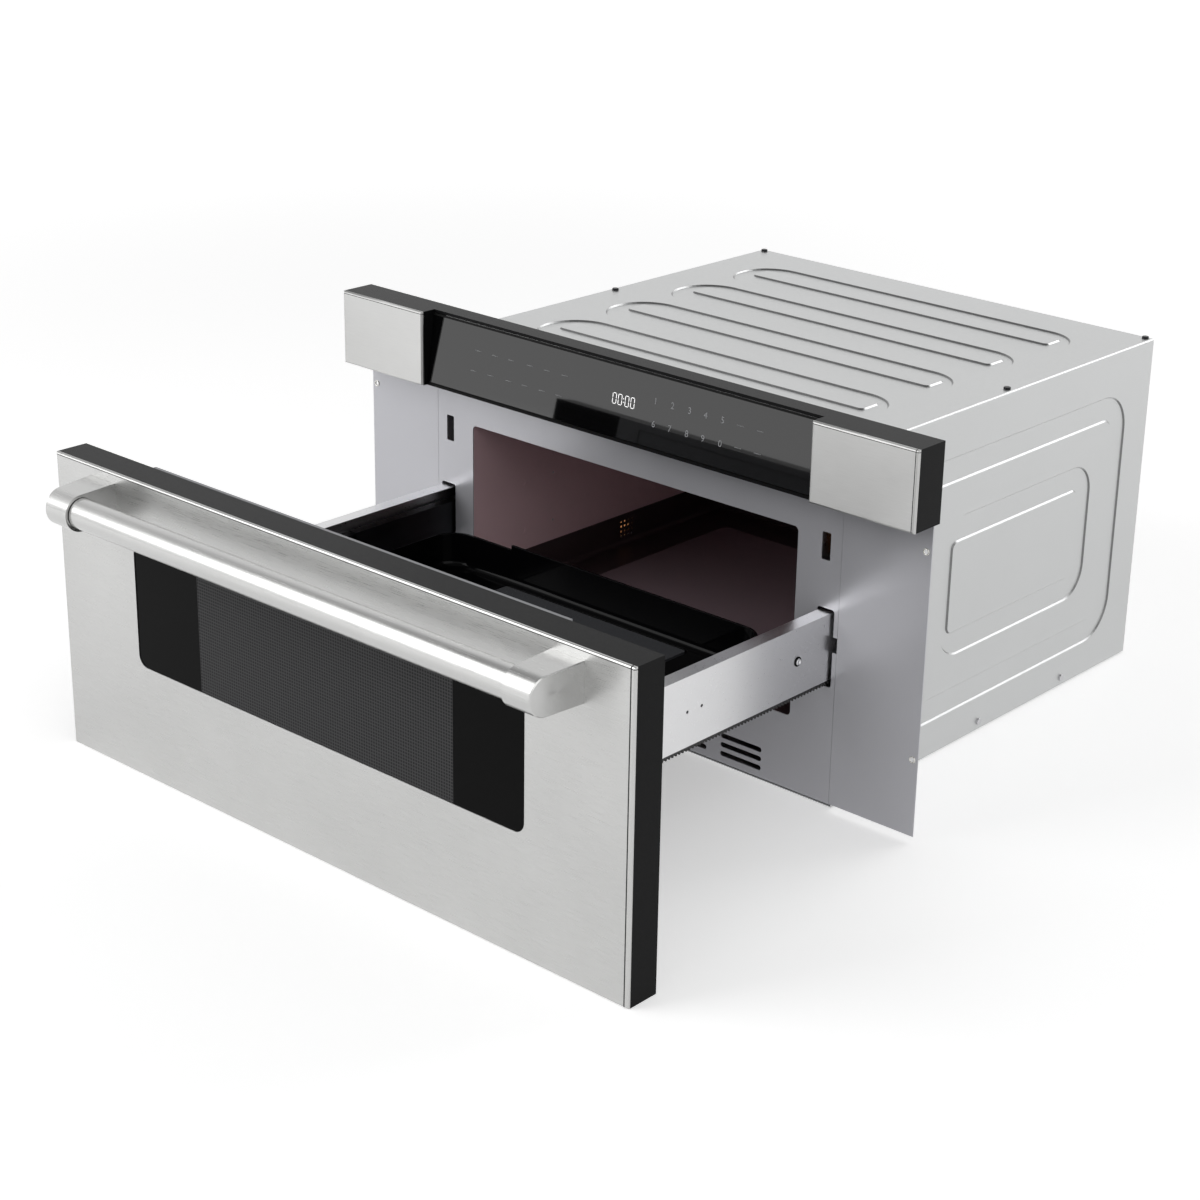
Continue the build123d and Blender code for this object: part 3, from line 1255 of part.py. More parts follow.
def make_drawer_skin():
    """Stainless skin with folded edges and the window cut out of it."""
    skin = block(-HALF, HALF, DOOR_Y, DOOR_Y + SKIN, DOOR_LOW, DOOR_TOP)
    skin = fillet(skin.faces().sort_by(Axis.Y)[0].edges(), SKIN_ROUND)
    skin -= block(-HALF + SHEET, HALF - SHEET, GLASS_Y, DOOR_Y + SKIN, DOOR_LOW + SHEET,
                  DOOR_TOP - SHEET)
    skin -= window(0, DOOR_Y, GLASS_Y)
    return skin - handle_bolts(HANDLE_SCREW_R + RUN_FIT, DOOR_Y, GLASS_Y)


def make_drawer_frame():
    """Dark moulded frame behind the skin, hollow and open at the rear."""
    frame = block(-HALF, HALF, DOOR_Y + SKIN, COVER_Y, DOOR_LOW, DOOR_TOP)
    frame += block(-HALF + SHEET, HALF - SHEET, GLASS_Y, DOOR_Y + SKIN, DOOR_LOW + SHEET,
                   DOOR_TOP - SHEET)
    wall = DOOR_WALL
    frame -= block(-HALF + wall, HALF - wall, SCREEN_Y, COVER_Y - wall, DOOR_LOW + wall,
                   DOOR_TOP - wall)
    x = COVER_X - COVER_LAP
    frame -= block(-x, x, COVER_Y - wall, COVER_Y, DOOR_LOW + COVER_LAP,
                   DOOR_TOP - COVER_LAP)
    frame -= window(GLASS_LAP + FIT, GLASS_Y, SCREEN_Y)
    return frame - handle_bolts(HANDLE_SCREW_R + RUN_FIT, GLASS_Y, SCREEN_Y)


def make_window_glass():
    return window(GLASS_LAP, GLASS_Y, SCREEN_Y)


def make_window_screen():
    """Perforated metal screen behind the glass; its fine holes are left out here."""
    return window(GLASS_LAP + SCREEN_LAP, SCREEN_Y, SCREEN_Y + SCREEN_T)


def make_choke_cover():
    """Metal cover on the back of the drawer front, with a groove round the mouth."""
    cover = block(-COVER_X, COVER_X, COVER_Y, DOOR_BACK, DOOR_LOW, DOOR_TOP)
    x = CAVITY_X + CHOKE_OUT
    z0 = CAVITY_FLOOR - CHOKE_OUT
    z1 = MOUTH_TOP + CHOKE_OUT
    w = CHOKE_W
    groove = block(-x - w, x + w, DOOR_BACK - CHOKE_DEEP, DOOR_BACK, z0 - w, z1 + w)
    groove -= block(-x, x, DOOR_BACK - CHOKE_DEEP, DOOR_BACK, z0, z1)
    return cover - groove


def make_handle_bar():
    x = POST_X - POST_W / 2 - GROOVE
    bar = rod("X", (-x, BAR_Y, BAR_Z), 2 * x, BAR_R)
    return bar - rod("X", (-x, BAR_Y, BAR_Z), 2 * x, BAR_R - BAR_WALL)


def make_handle_post():
    """Right-hand post: a round nose round the bar's axis that widens to the skin."""
    x0 = POST_X - POST_W / 2
    x1 = POST_X + POST_W / 2
    tip = BAR_Y - POST_NOSE
    top = BAR_Z + POST_NOSE
    low = BAR_Z - POST_NOSE
    body = prism_x([(BAR_Y, low), (DOOR_Y, low), (DOOR_Y, top + POST_RISE), (BAR_Y, top)],
                   x0, x1 + POST_DRAFT)
    body += rod("X", (x0, BAR_Y, BAR_Z), POST_W + POST_DRAFT, POST_NOSE)
    plan = make_face(Polyline((x0, tip), (x1, tip), (x1 + POST_DRAFT, DOOR_Y), (x0, DOOR_Y),
                              close=True))
    post = body & Pos(0, 0, low) * extrude(plan, top + POST_RISE - low)
    outer = post.faces().sort_by(Axis.X)[-1]
    post = chamfer(outer.edges().sort_by(Axis.Y)[:-1], POST_EDGE)
    spigot = GROOVE + SPIGOT_L
    post += rod("X", (x0 - spigot, BAR_Y, BAR_Z), spigot, BAR_R - BAR_WALL - RUN_FIT)
    return post - handle_bolts(HANDLE_SCREW_R + RUN_FIT, DOOR_Y - HANDLE_SCREW_BITE, DOOR_Y)


def make_handle_screws():
    """Screws from inside the frame into the posts."""
    screws = []
    for x, z in handle_seats():
        length = SCREEN_Y - DOOR_Y + HANDLE_SCREW_BITE
        stem = rod("Y", (x, SCREEN_Y - length, z), length, HANDLE_SCREW_R)
        screws.append(stem + rod("Y", (x, SCREEN_Y, z), HANDLE_HEAD_H, HANDLE_HEAD_R))
    return group(screws)


# ------------------------------------------------------------------ tray
def make_tray():
    """Enamelled tray with a recess for the shelf and a step in its rim."""
    tray = block(-TRAY_X, TRAY_X, DOOR_BACK, TRAY_BACK, TRAY_LOW, TRAY_RIM)
    rear = tray.edges().filter_by(Axis.Z).group_by(Axis.Y)[-1]
    tray = fillet(rear, TRAY_ROUND)
    tray = fillet(tray.faces().sort_by(Axis.Z)[0].edges(), TRAY_FOOT)
    w = TRAY_WALL
    room = block(-TRAY_X + w, TRAY_X - w, DOOR_BACK + w, TRAY_BACK - w,
                 TRAY_LOW + TRAY_FLOOR, TRAY_RIM + 1)
    room = fillet(room.edges().filter_by(Axis.Z), TRAY_ROUND - w)
    room = fillet(room.faces().sort_by(Axis.Z)[0].edges(), TRAY_FOOT - w)
    tray -= room
    c = SHELF_CHANNEL
    tray -= rounded(block(-SHELF_X - c, SHELF_X + c, DOOR_BACK + SHELF_FRONT - c,
                          TRAY_BACK - SHELF_BACK + c, SHELF_TOP - SHELF_T,
                          TRAY_LOW + TRAY_FLOOR + TRAY_FOOT), "Z", 2 * c)
    return tray - block(-TRAY_X, -TRAY_X + TRAY_STEP_IN, TRAY_BACK - TRAY_STEP_L, TRAY_BACK,
                        TRAY_RIM - TRAY_STEP, TRAY_RIM)


def make_shelf():
    """Glass-ceramic shelf that lies in the tray's recess."""
    return rounded(block(-SHELF_X, SHELF_X, DOOR_BACK + SHELF_FRONT, TRAY_BACK - SHELF_BACK,
                         SHELF_TOP - SHELF_T, SHELF_TOP), "Z", SHELF_CHANNEL)


# ------------------------------------------------------------------ all nodes
SINGLE = {
    "wrapper": make_wrapper,
    "base_pan": make_base_pan,
    "rear_panel": make_rear_panel,
    "front_plate": make_front_plate,
    "case_screws": make_case_screws,
    "cord_gland": make_cord_gland,
    "strip_housing": make_strip_housing,
    "touch_glass": make_touch_glass,
    "control_board": make_control_board,
    "cavity_box": make_cavity_box,
    "floor_plate": make_floor_plate,
    "slide_brackets": make_slide_brackets,
    "waveguide": make_waveguide,
    "antenna": make_antenna,
    "antenna_motor": make_antenna_motor,
    "magnetron": make_magnetron,
    "fan_frame": make_fan_frame,
    "fan_motor": make_fan_motor,
    "fan_impeller": make_fan_impeller,
    "air_duct": make_air_duct,
    "transformer": make_transformer,
    "capacitor": make_capacitor,
    "power_board": make_power_board,
    "lamp_holder": make_lamp_holder,
    "lamp_bulb": make_lamp_bulb,
    "thermal_cutout": make_thermal_cutout,
    "drive_rack": make_drive_rack,
    "drive_pinion": make_drive_pinion,
    "drive_motor": make_drive_motor,
    "motor_mount": make_motor_mount,
    "interlock_brackets": make_interlock_brackets,
    "interlock_switches": make_interlock_switches,
    "latch_hooks": make_latch_hooks,
    "drawer_skin": make_drawer_skin,
    "drawer_frame": make_drawer_frame,
    "window_glass": make_window_glass,
    "window_screen": make_window_screen,
    "choke_cover": make_choke_cover,
    "handle_bar": make_handle_bar,
    "handle_screws": make_handle_screws,
    "tray": make_tray,
    "shelf": make_shelf,
}
PAIRED = {
    "flange": make_flange,
    "latch_plate": make_latch_plate,
    "pad": make_pad,
    "slide_fixed": make_slide_fixed,
    "slide_middle": make_slide_middle,
    "slide_drawer": make_slide_drawer,
    "rail": make_rail,
    "handle_post": make_handle_post,
    "interlock_lever": make_interlock_lever,
}

for name, make in SINGLE.items():
    save(name, make())
for name, make in PAIRED.items():
    right = make()
    save(name + "_right", right)
    save(name + "_left", other_side(right))
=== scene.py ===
"""Finishes, control marks, small trim and a studio for a built-in microwave drawer."""
import math

import bpy
from bpy.props import FloatProperty, FloatVectorProperty, PointerProperty
from mathutils import Matrix, Vector


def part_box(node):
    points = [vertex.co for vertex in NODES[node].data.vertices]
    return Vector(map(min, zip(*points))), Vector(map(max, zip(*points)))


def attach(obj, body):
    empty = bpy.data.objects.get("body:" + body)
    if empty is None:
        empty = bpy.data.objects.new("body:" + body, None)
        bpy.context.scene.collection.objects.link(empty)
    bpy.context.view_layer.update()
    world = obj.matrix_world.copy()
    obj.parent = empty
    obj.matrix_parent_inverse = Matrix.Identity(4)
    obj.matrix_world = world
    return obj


bl_info = {
    "name": "Microwave drawer",
    "version": (1, 0, 0),
    "blender": (4, 5, 0),
    "location": "3D View > Sidebar > Microwave drawer",
    "description": "Finishes, control marks and small trim of a built-in microwave drawer",
    "category": "Object",
}

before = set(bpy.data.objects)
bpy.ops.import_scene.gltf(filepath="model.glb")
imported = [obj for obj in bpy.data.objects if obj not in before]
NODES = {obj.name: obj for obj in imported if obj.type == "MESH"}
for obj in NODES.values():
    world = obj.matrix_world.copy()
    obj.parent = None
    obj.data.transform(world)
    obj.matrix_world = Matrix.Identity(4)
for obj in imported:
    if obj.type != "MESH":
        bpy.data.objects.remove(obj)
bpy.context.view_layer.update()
MM = 0.001
SMOOTH_ANGLE = math.radians(35)     # edges flatter than this are shaded smooth
# Inputs of Blender's Mix node: its factor, and its two colours or its two plain values.
FACTOR, COLOUR_A, COLOUR_B = 0, 6, 7
VALUE_A, VALUE_B = 2, 3


def linear(code):
    """Linear colour of an sRGB hex value."""
    parts = [int(code[i:i + 2], 16) / 255 for i in (1, 3, 5)]
    return [c / 12.92 if c <= 0.04045 else ((c + 0.055) / 1.055) ** 2.4 for c in parts]


# ------------------------------------------------------------------ places
def edge(node, axis, high):
    """One side of a node's box in the frame, in metres."""
    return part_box(node)[1 if high else 0][axis]


PLATE_Y = edge("front_plate", 1, False)
STRIP_TOP = edge("strip_housing", 2, True)
STRIP_LOW = edge("strip_housing", 2, False)
FACE_Y = edge("pad_right", 1, False)
DOOR_LOW = edge("drawer_skin", 2, False)
DOOR_TOP = edge("drawer_skin", 2, True)
FLANGE_X = edge("flange_right", 0, True)
SKIN_X = edge("drawer_skin", 0, True)
RAIL_FACE = edge("rail_right", 0, True)
BAR_END = edge("handle_bar", 0, True)
BAR_LOW, BAR_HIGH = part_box("handle_bar")
BAR_RADIUS = (BAR_HIGH.z - BAR_LOW.z) / 2
BAR_Y = (BAR_LOW.y + BAR_HIGH.y) / 2
BAR_Z = (BAR_LOW.z + BAR_HIGH.z) / 2
# Places inside a node, which its box doesn't give.
FLANGE_HOLE_X = FLANGE_X - 6.2 * MM
FLANGE_HOLES_Z = (83.6 * MM, 295.0 * MM)
RAIL_DIMPLE_Y = -326.75 * MM
RAIL_DIMPLE_Z = 169.7 * MM
SCREEN_HALF = 171 * MM              # the window's clear middle, to each side
TOP_SCREWS_Z = 361 * MM             # screws above this height are blackened
GLASS_LEAN = math.radians(8.4)
GLASS_DEPTH = 13 * MM               # glass behind the pads, at half its height
GLASS_MIDDLE = Vector((0, FACE_Y + GLASS_DEPTH, (STRIP_TOP + STRIP_LOW) / 2))
GLASS_UP = Vector((0, math.sin(GLASS_LEAN), math.cos(GLASS_LEAN)))
GLASS_OUT = Vector((0, -math.cos(GLASS_LEAN), math.sin(GLASS_LEAN)))
CLOCK_X, CLOCK_UP = 14.5, 2.0       # middle of the clock on the glass, mm


# ------------------------------------------------------------------ settings
def colour(name, note, code):
    """A colour that the user can change, from its sRGB hex value."""
    return FloatVectorProperty(name=name, description=note, subtype="COLOR", size=3,
                               min=0, max=1, default=linear(code))


def length(name, note, value):
    """A length that the user can change, in metres."""
    return FloatProperty(name=name, description=note, unit="LENGTH", default=value)


class DrawerColours(bpy.types.PropertyGroup):
    """Colours of the finishes."""
    stainless: colour("Stainless", "Brushed stainless skins and handle", "#C1C1C0")
    galvanised: colour("Galvanised", "Galvanised sheet of the case", "#CBCCCC")
    zinc_sheet: colour("Zinc sheet", "Zinc-coated front plate and flanges", "#C6C6CB")
    plastic: colour("Black plastic", "Moulded frame and housing", "#0E0E0F")
    control_glass: colour("Control glass", "Tinted glass of the control strip", "#070708")
    window_glass: colour("Window glass", "Printed border of the window glass", "#050505")
    window_mesh: colour("Window screen", "Screen seen through the window glass", "#4A4A4B")
    cavity: colour("Cavity enamel", "Painted liner of the cavity", "#DDBDC2")
    tray: colour("Tray enamel", "Glossy enamel of the tray", "#060607")
    shelf: colour("Shelf", "Glass-ceramic shelf", "#444548")
    marks: colour("Marks", "Printed key digits", "#9FA0A3")
    faint_marks: colour("Faint marks", "Small printed key marks", "#8E8F91")
    clock: colour("Clock", "Lit clock digits", "#FFFFFF")
    floor: colour("Floor", "Studio floor", "#F2F2F2")


class DrawerSizes(bpy.types.PropertyGroup):
    """Sizes of the pieces that are added to the frame."""
    digit_height: length("Key digit", "Height of a printed key digit", 6.6 * MM)
    clock_height: length("Clock digit", "Height of a lit clock digit", 10.5 * MM)
    clock_pitch: length("Clock pitch", "From one clock digit to the next", 7.4 * MM)
    mark_height: length("Key mark", "Height of a generic key mark", 2.0 * MM)
    mark_relief: length("Mark relief", "Thickness of the printed marks", 0.12 * MM)
    eyelet: length("Eyelet", "Outer radius of the eyelet in a flange hole", 3.7 * MM)
    # The strip above the glass is painted shade: it stands for the dark groove there.
    groove_strip: length("Seal", "Height of the dark seal above the control glass", 2.2 * MM)


# ------------------------------------------------------------------ materials
def add(tree, kind, inputs=None, **settings):
    """Add one shader node with its settings, and its inputs as values or links."""
    node = tree.nodes.new(kind)
    for key, value in settings.items():
        setattr(node, key, value)
    for key, value in (inputs or {}).items():
        if isinstance(value, bpy.types.NodeSocket):
            tree.links.new(value, node.inputs[key])
        else:
            node.inputs[key].default_value = value
    return node


def new_material(name):
    """An empty material, its node tree and its object coordinates."""
    material = bpy.data.materials.new(name)
    material.use_nodes = True
    tree = material.node_tree
    tree.nodes.clear()
    return material, tree, add(tree, "ShaderNodeTexCoord").outputs["Object"]


def opaque(rgb, gain=1.0):
    """A colour with full alpha, made lighter or darker by gain."""
    return [min(1.0, c * gain) for c in rgb] + [1.0]


def grain_value(tree, place, size_mm, stretch=(1, 1, 1)):
    """Pattern from 0 to 1 whose features are size_mm across, drawn out by stretch."""
    scale = [1 / (size_mm * MM * s) for s in stretch]
    spot = add(tree, "ShaderNodeMapping", {"Vector": place, "Scale": scale}).outputs[0]
    noise = add(tree, "ShaderNodeTexNoise",
                {"Vector": spot, "Scale": 1.0, "Detail": 3.0, "Roughness": 0.6})
    return noise.outputs["Fac"]


def finish(name, rgb, metallic=0.0, roughness=0.5, grain=2.0, stretch=(1, 1, 1),
           contrast=0.06, spread=0.08, relief=0.0, specular=0.5, edge_mm=0.5, brushed=0.0,
           around="Z", shade_lines=(), slope_shade=0.0, emit=0.0):
    """Material of one finish; its grain varies colour, roughness and height a little.

    grain is the size of the pattern in mm, stretch draws it out along an axis, and
    contrast and spread are how far it moves the colour and the roughness. The lines
    argument holds (axis, place, half width) of each line or band of painted shade, and the
    slope argument is how far the sloped walls of pressed fields are darkened with painted
    shade.
    """
    drift_mm = 140.0                # slow change of tone over a whole sheet
    # Tones, as shares of the colour, of the painted shade lines and of the painted shade on
    # sloped walls.
    line_shade, wall_shade = 0.06, 0.15
    material, tree, place = new_material(name)
    value = grain_value(tree, place, grain, stretch)
    drift = grain_value(tree, place, drift_mm)
    both = add(tree, "ShaderNodeMath", {0: value, 1: drift}, operation="ADD").outputs[0]
    both = add(tree, "ShaderNodeMath", {0: both, 1: 0.5}, operation="MULTIPLY").outputs[0]
    tone = add(tree, "ShaderNodeMix",
               {FACTOR: both, COLOUR_A: opaque(rgb, 1 - contrast),
                COLOUR_B: opaque(rgb, 1 + contrast)}, data_type="RGBA").outputs[2]
    # The noise seldom leaves 0.3 to 0.7, so that span covers the whole roughness.
    rough = add(tree, "ShaderNodeMapRange",
                {"Value": value, "From Min": 0.3, "From Max": 0.7,
                 "To Min": max(0.02, roughness - spread), "To Max": roughness + spread})
    axes = add(tree, "ShaderNodeSeparateXYZ", {"Vector": place}) if shade_lines else None
    for axis, where, half in shade_lines:
        # A line or band of painted shade at this height or width: on a sheet, the dark
        # reflection that its rounded bend would show; in the cavity, the shade under the
        # drawer.
        line = add(tree, "ShaderNodeMath", {0: axes.outputs[axis], 1: where, 2: half},
                   operation="COMPARE").outputs[0]
        tone = add(tree, "ShaderNodeMix",
                   {FACTOR: line, COLOUR_A: tone, COLOUR_B: opaque(rgb, line_shade)},
                   data_type="RGBA").outputs[2]
    if slope_shade:
        # Painted shade on the walls of pressed fields that slope to the front or back, so
        # that the pressed lines show dark. slope is 0 on flat faces and 0.25 on a wall at 45
        # degrees.
        slope_starts, slope_full = 0.04, 0.16
        facing = add(tree, "ShaderNodeNewGeometry").outputs["True Normal"]
        facing = add(tree, "ShaderNodeSeparateXYZ", {"Vector": facing})
        along = add(tree, "ShaderNodeMath", {0: facing.outputs["Y"], 1: 2.0},
                    operation="POWER").outputs[0]
        across = add(tree, "ShaderNodeMath", {0: 1.0, 1: along},
                     operation="SUBTRACT").outputs[0]
        slope = add(tree, "ShaderNodeMath", {0: along, 1: across},
                    operation="MULTIPLY").outputs[0]
        amount = add(tree, "ShaderNodeMapRange",
                     {"Value": slope, "From Min": slope_starts, "From Max": slope_full,
                      "To Max": slope_shade})
        tone = add(tree, "ShaderNodeMix",
                   {FACTOR: amount.outputs[0], COLOUR_A: tone,
                    COLOUR_B: opaque(rgb, wall_shade)}, data_type="RGBA").outputs[2]
    inputs = {"Base Color": tone, "Metallic": metallic, "Roughness": rough.outputs[0],
              "Specular IOR Level": specular}
    if brushed:
        # Lines along X spread a reflection across them: up and down on an upright sheet,
        # where the tangent runs along the lines, and round a bar, where it runs round X.
        quarter_turn = 0.25
        inputs["Anisotropic"] = brushed
        inputs["Anisotropic Rotation"] = quarter_turn if around == "Z" else 0.0
        inputs["Tangent"] = add(tree, "ShaderNodeTangent", direction_type="RADIAL",
                                axis=around).outputs[0]
    if edge_mm:
        inputs["Normal"] = add(tree, "ShaderNodeBevel", {"Radius": edge_mm * MM},
                               samples=4).outputs[0]
    if relief:
        bump = {"Height": value, "Distance": relief * MM, "Strength": 0.6}
        if edge_mm:
            bump["Normal"] = inputs["Normal"]
        inputs["Normal"] = add(tree, "ShaderNodeBump", bump).outputs[0]
    if emit:
        inputs.update({"Emission Color": opaque(rgb), "Emission Strength": emit})
    shader = add(tree, "ShaderNodeBsdfPrincipled", inputs)
    add(tree, "ShaderNodeOutputMaterial", {"Surface": shader.outputs[0]})
    return material


def window_finish(name, border, mesh):
    """Printed glass: a black border and, behind its clear middle, a perforated screen."""
    material, tree, place = new_material(name)
    # Holes of 1.6 mm at a pitch of 3.2 mm, coarser than the real screen so that they show.
    pitch = 3.2 * MM
    hole_edge, wire_edge = 0.28, 0.40   # from a hole's middle, as shares of the pitch
    holes_tone = 0.35                   # how much of the screen's tone a hole still has
    spot = add(tree, "ShaderNodeMapping",
               {"Vector": place, "Scale": (1 / pitch, 0, 1 / pitch)}).outputs[0]
    dots = add(tree, "ShaderNodeTexVoronoi",
               {"Vector": spot, "Scale": 1.0, "Randomness": 0.0})
    wire = add(tree, "ShaderNodeMapRange",
               {"Value": dots.outputs["Distance"], "From Min": hole_edge,
                "From Max": wire_edge}, interpolation_type="SMOOTHSTEP").outputs[0]
    axes = add(tree, "ShaderNodeSeparateXYZ", {"Vector": place})
    across = add(tree, "ShaderNodeMath", {0: axes.outputs["X"]}, operation="ABSOLUTE")
    clear = add(tree, "ShaderNodeMath", {0: across.outputs[0], 1: SCREEN_HALF},
                operation="LESS_THAN").outputs[0]
    shade = add(tree, "ShaderNodeMath", {0: wire, 1: clear}, operation="MULTIPLY").outputs[0]
    least = add(tree, "ShaderNodeMath", {0: clear, 1: holes_tone},
                operation="MULTIPLY").outputs[0]
    shade = add(tree, "ShaderNodeMath", {0: shade, 1: least}, operation="MAXIMUM").outputs[0]
    tone = add(tree, "ShaderNodeMix",
               {FACTOR: shade, COLOUR_A: opaque(border), COLOUR_B: opaque(mesh)},
               data_type="RGBA").outputs[2]
    film = grain_value(tree, place, 60.0)
    rough = add(tree, "ShaderNodeMapRange", {"Value": film, "To Min": 0.03, "To Max": 0.10})
    edge_normal = add(tree, "ShaderNodeBevel", {"Radius": 0.5 * MM}, samples=4).outputs[0]
    shader = add(tree, "ShaderNodeBsdfPrincipled",
                 {"Base Color": tone, "Roughness": rough.outputs[0],
                  "Specular IOR Level": 0.05, "Normal": edge_normal})
    add(tree, "ShaderNodeOutputMaterial", {"Surface": shader.outputs[0]})
    return material


def screw_finish(name, bright, dark):
    """Bright screws, except the blackened ones on top of the case."""
    material, tree, place = new_material(name)
    axes = add(tree, "ShaderNodeSeparateXYZ", {"Vector": place})
    top = add(tree, "ShaderNodeMath", {0: axes.outputs["Z"], 1: TOP_SCREWS_Z},
              operation="GREATER_THAN").outputs[0]
    wear = grain_value(tree, place, 1.5)
    bright_tone = add(tree, "ShaderNodeMix",
                      {FACTOR: wear, COLOUR_A: opaque(bright, 0.85),
                       COLOUR_B: opaque(bright)}, data_type="RGBA").outputs[2]
    tone = add(tree, "ShaderNodeMix",
               {FACTOR: top, COLOUR_A: bright_tone, COLOUR_B: opaque(dark)},
               data_type="RGBA").outputs[2]
    rough = add(tree, "ShaderNodeMapRange", {"Value": wear, "To Min": 0.2, "To Max": 0.4})
    shader = add(tree, "ShaderNodeBsdfPrincipled",
                 {"Base Color": tone, "Metallic": 1.0, "Roughness": rough.outputs[0]})
    add(tree, "ShaderNodeOutputMaterial", {"Surface": shader.outputs[0]})
    return material


def dress(material, *names):
    """Give a material to CAD nodes."""
    for name in names:
        for slot in NODES[name].material_slots:
            slot.material = material


# ------------------------------------------------------------------ mesh tools
def deselect():
    """Leave edit mode and select nothing."""
    if bpy.context.object and bpy.context.object.mode != "OBJECT":
        bpy.ops.object.mode_set(mode="OBJECT")
    bpy.ops.object.select_all(action="DESELECT")


def use(obj):
    """Select one object alone."""
    deselect()
    obj.select_set(True)
    bpy.context.view_layer.objects.active = obj


def settle(obj):
    """Put an object's place, turn and size into its mesh."""
    use(obj)
    bpy.ops.object.transform_apply(location=True, rotation=True, scale=True)
    return obj


def copied(obj, name, matrix):
    """A copy with its own mesh, moved by a matrix."""
    twin = obj.copy()
    twin.data = obj.data.copy()
    twin.name = name
    bpy.context.scene.collection.objects.link(twin)
    twin.data.transform(matrix)
    return twin


def joined(parts, name):
    """Several mesh objects as one."""
    deselect()
    for part in parts:
        part.select_set(True)
    bpy.context.view_layer.objects.active = parts[0]
    bpy.ops.object.join()
    parts[0].name = name
    return parts[0]


def pick(obj, test):
    """In edit mode, select the faces whose middle and normal pass a test."""
    bpy.ops.object.mode_set(mode="EDIT")
    bpy.ops.mesh.select_mode(type="FACE")
    bpy.ops.mesh.select_all(action="DESELECT")
    bpy.ops.object.mode_set(mode="OBJECT")
    for face in obj.data.polygons:
        face.select = test(face.center, face.normal)
    bpy.ops.object.mode_set(mode="EDIT")


def box_at(name, low, high):
    """A block between two corners, its place already in its mesh."""
    deselect()
    low, high = Vector(low), Vector(high)
    bpy.ops.mesh.primitive_cube_add(size=1, location=(low + high) / 2, scale=high - low)
    block = settle(bpy.context.object)
    block.name = name
    return block


def soften(obj, width):
    """Round the edges of a mesh with a bevel that is then applied."""
    use(obj)
    bevel = obj.modifiers.new("rounding", "BEVEL")
    bevel.width = width
    bevel.segments = 2
    bevel.limit_method = "ANGLE"
    bpy.ops.object.modifier_apply(modifier=bevel.name)
    bpy.ops.object.shade_smooth_by_angle(angle=SMOOTH_ANGLE)


def finished(obj, material, body):
    """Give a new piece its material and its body."""
    obj.data.materials.clear()
    obj.data.materials.append(material)
    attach(obj, body)


def on_glass(x, up):
    """Matrix that lays a mark drawn in the XY plane on the control glass, x and up in mm."""
    place = GLASS_MIDDLE + Vector((x * MM, 0, 0)) + GLASS_UP * (up * MM)
    turn = Matrix((Vector((1, 0, 0)), GLASS_UP, GLASS_OUT)).transposed().to_4x4()
    return Matrix.Translation(place) @ turn


def text_mesh(text, height, relief):
    """Text as a mesh in the XY plane, centred, with its height in metres."""
    digit_share = 0.70              # a digit's height as a share of the text's size
    deselect()
    bpy.ops.object.text_add()
    obj = bpy.context.object
    obj.data.body = text
    obj.data.align_x = "CENTER"
    obj.data.align_y = "CENTER"
    obj.data.size = height / digit_share
    obj.data.extrude = relief / 2
    obj.data.resolution_u = 4
    bpy.ops.object.convert(target="MESH")
    return settle(bpy.context.object)


# ------------------------------------------------------------------ operators
class DressOperator:
    """Settings that every operator here shares."""
    bl_options = {"REGISTER", "UNDO"}


class DRAWER_OT_case_finishes(DressOperator, bpy.types.Operator):
    """Give the case, its plates and the control strip their finishes"""
    bl_idname = "drawer.case_finishes"
    bl_label = "Case finishes"

    def execute(self, context):
        c = context.scene.drawer_colours
        # Hot-dip galvanised sheet: pale grey zinc with faint crystals about 5 mm across. The
        # walls of its pressed fields are darkened with painted shade, so that the pressed
        # lines show.
        zinc = finish("galvanised steel sheet", c.galvanised, metallic=0.75, roughness=0.34,
                      grain=1.6, stretch=(3, 3, 1), contrast=0.05, spread=0.04, edge_mm=0,
                      slope_shade=0.8)
        dress(zinc, "wrapper", "base_pan", "rear_panel")
        # Bright zinc-plated folded steel of the drawer's sides: paler and smoother.
        dress(finish("bright zinc-plated rail steel", linear("#DDDDDE"), metallic=1.0,
                     roughness=0.3, grain=2.0, contrast=0.03, spread=0.03, edge_mm=0.2),
              "rail_right", "rail_left")
        # Zinc-coated sheet, rolled smooth: it mirrors what stands in front of it softly.
        plate = finish("zinc-coated smooth sheet", c.zinc_sheet, metallic=0.4,
                       roughness=0.33, grain=30.0, stretch=(1, 1, 4), contrast=0.02,
                       spread=0.02, edge_mm=0)
        dress(plate, "front_plate", "latch_plate_right", "latch_plate_left",
              "flange_right", "flange_left")
        # Plated steel: bright and lightly worn, and blackened on top of the case.
        screws = screw_finish("plated pan-head screws", linear("#C8C8CA"), linear("#2B2B2D"))
        dress(screws, "case_screws")
        # Moulded ABS, spark-eroded texture: deep black with a soft sheen.
        abs_black = finish("moulded ABS, fine texture", c.plastic, roughness=0.34, grain=0.9,
                           contrast=0.15, relief=0.02, specular=0.07, edge_mm=0.3)
        dress(abs_black, "strip_housing", "cord_gland", "drawer_frame")
        # Tinted float glass: almost black, mirror smooth, brighter where it sees the room.
        glass = finish("tinted control glass", c.control_glass, roughness=0.03, grain=90.0,
                       contrast=0.06, spread=0.01, specular=0.92)
        dress(glass, "touch_glass")
        # Stainless sheet with lines of 0.6 mm, coarser than the drawer's, so that it mirrors
        # less of what stands below it. Thin dark lines at its bends are painted reflections:
        # the dark that a rounded bend mirrors.
        dress(finish("coarsely brushed stainless sheet", c.stainless, metallic=1.0,
                     roughness=0.45, grain=0.6, stretch=(40, 3, 1), contrast=0.22,
                     spread=0.04, edge_mm=0.2, brushed=0.9,
                     shade_lines=((0, SKIN_X - 3.4 * MM, 0.45 * MM),
                            (2, STRIP_TOP - 2.4 * MM, 0.3 * MM))), "pad_right", "pad_left")
        return {"FINISHED"}


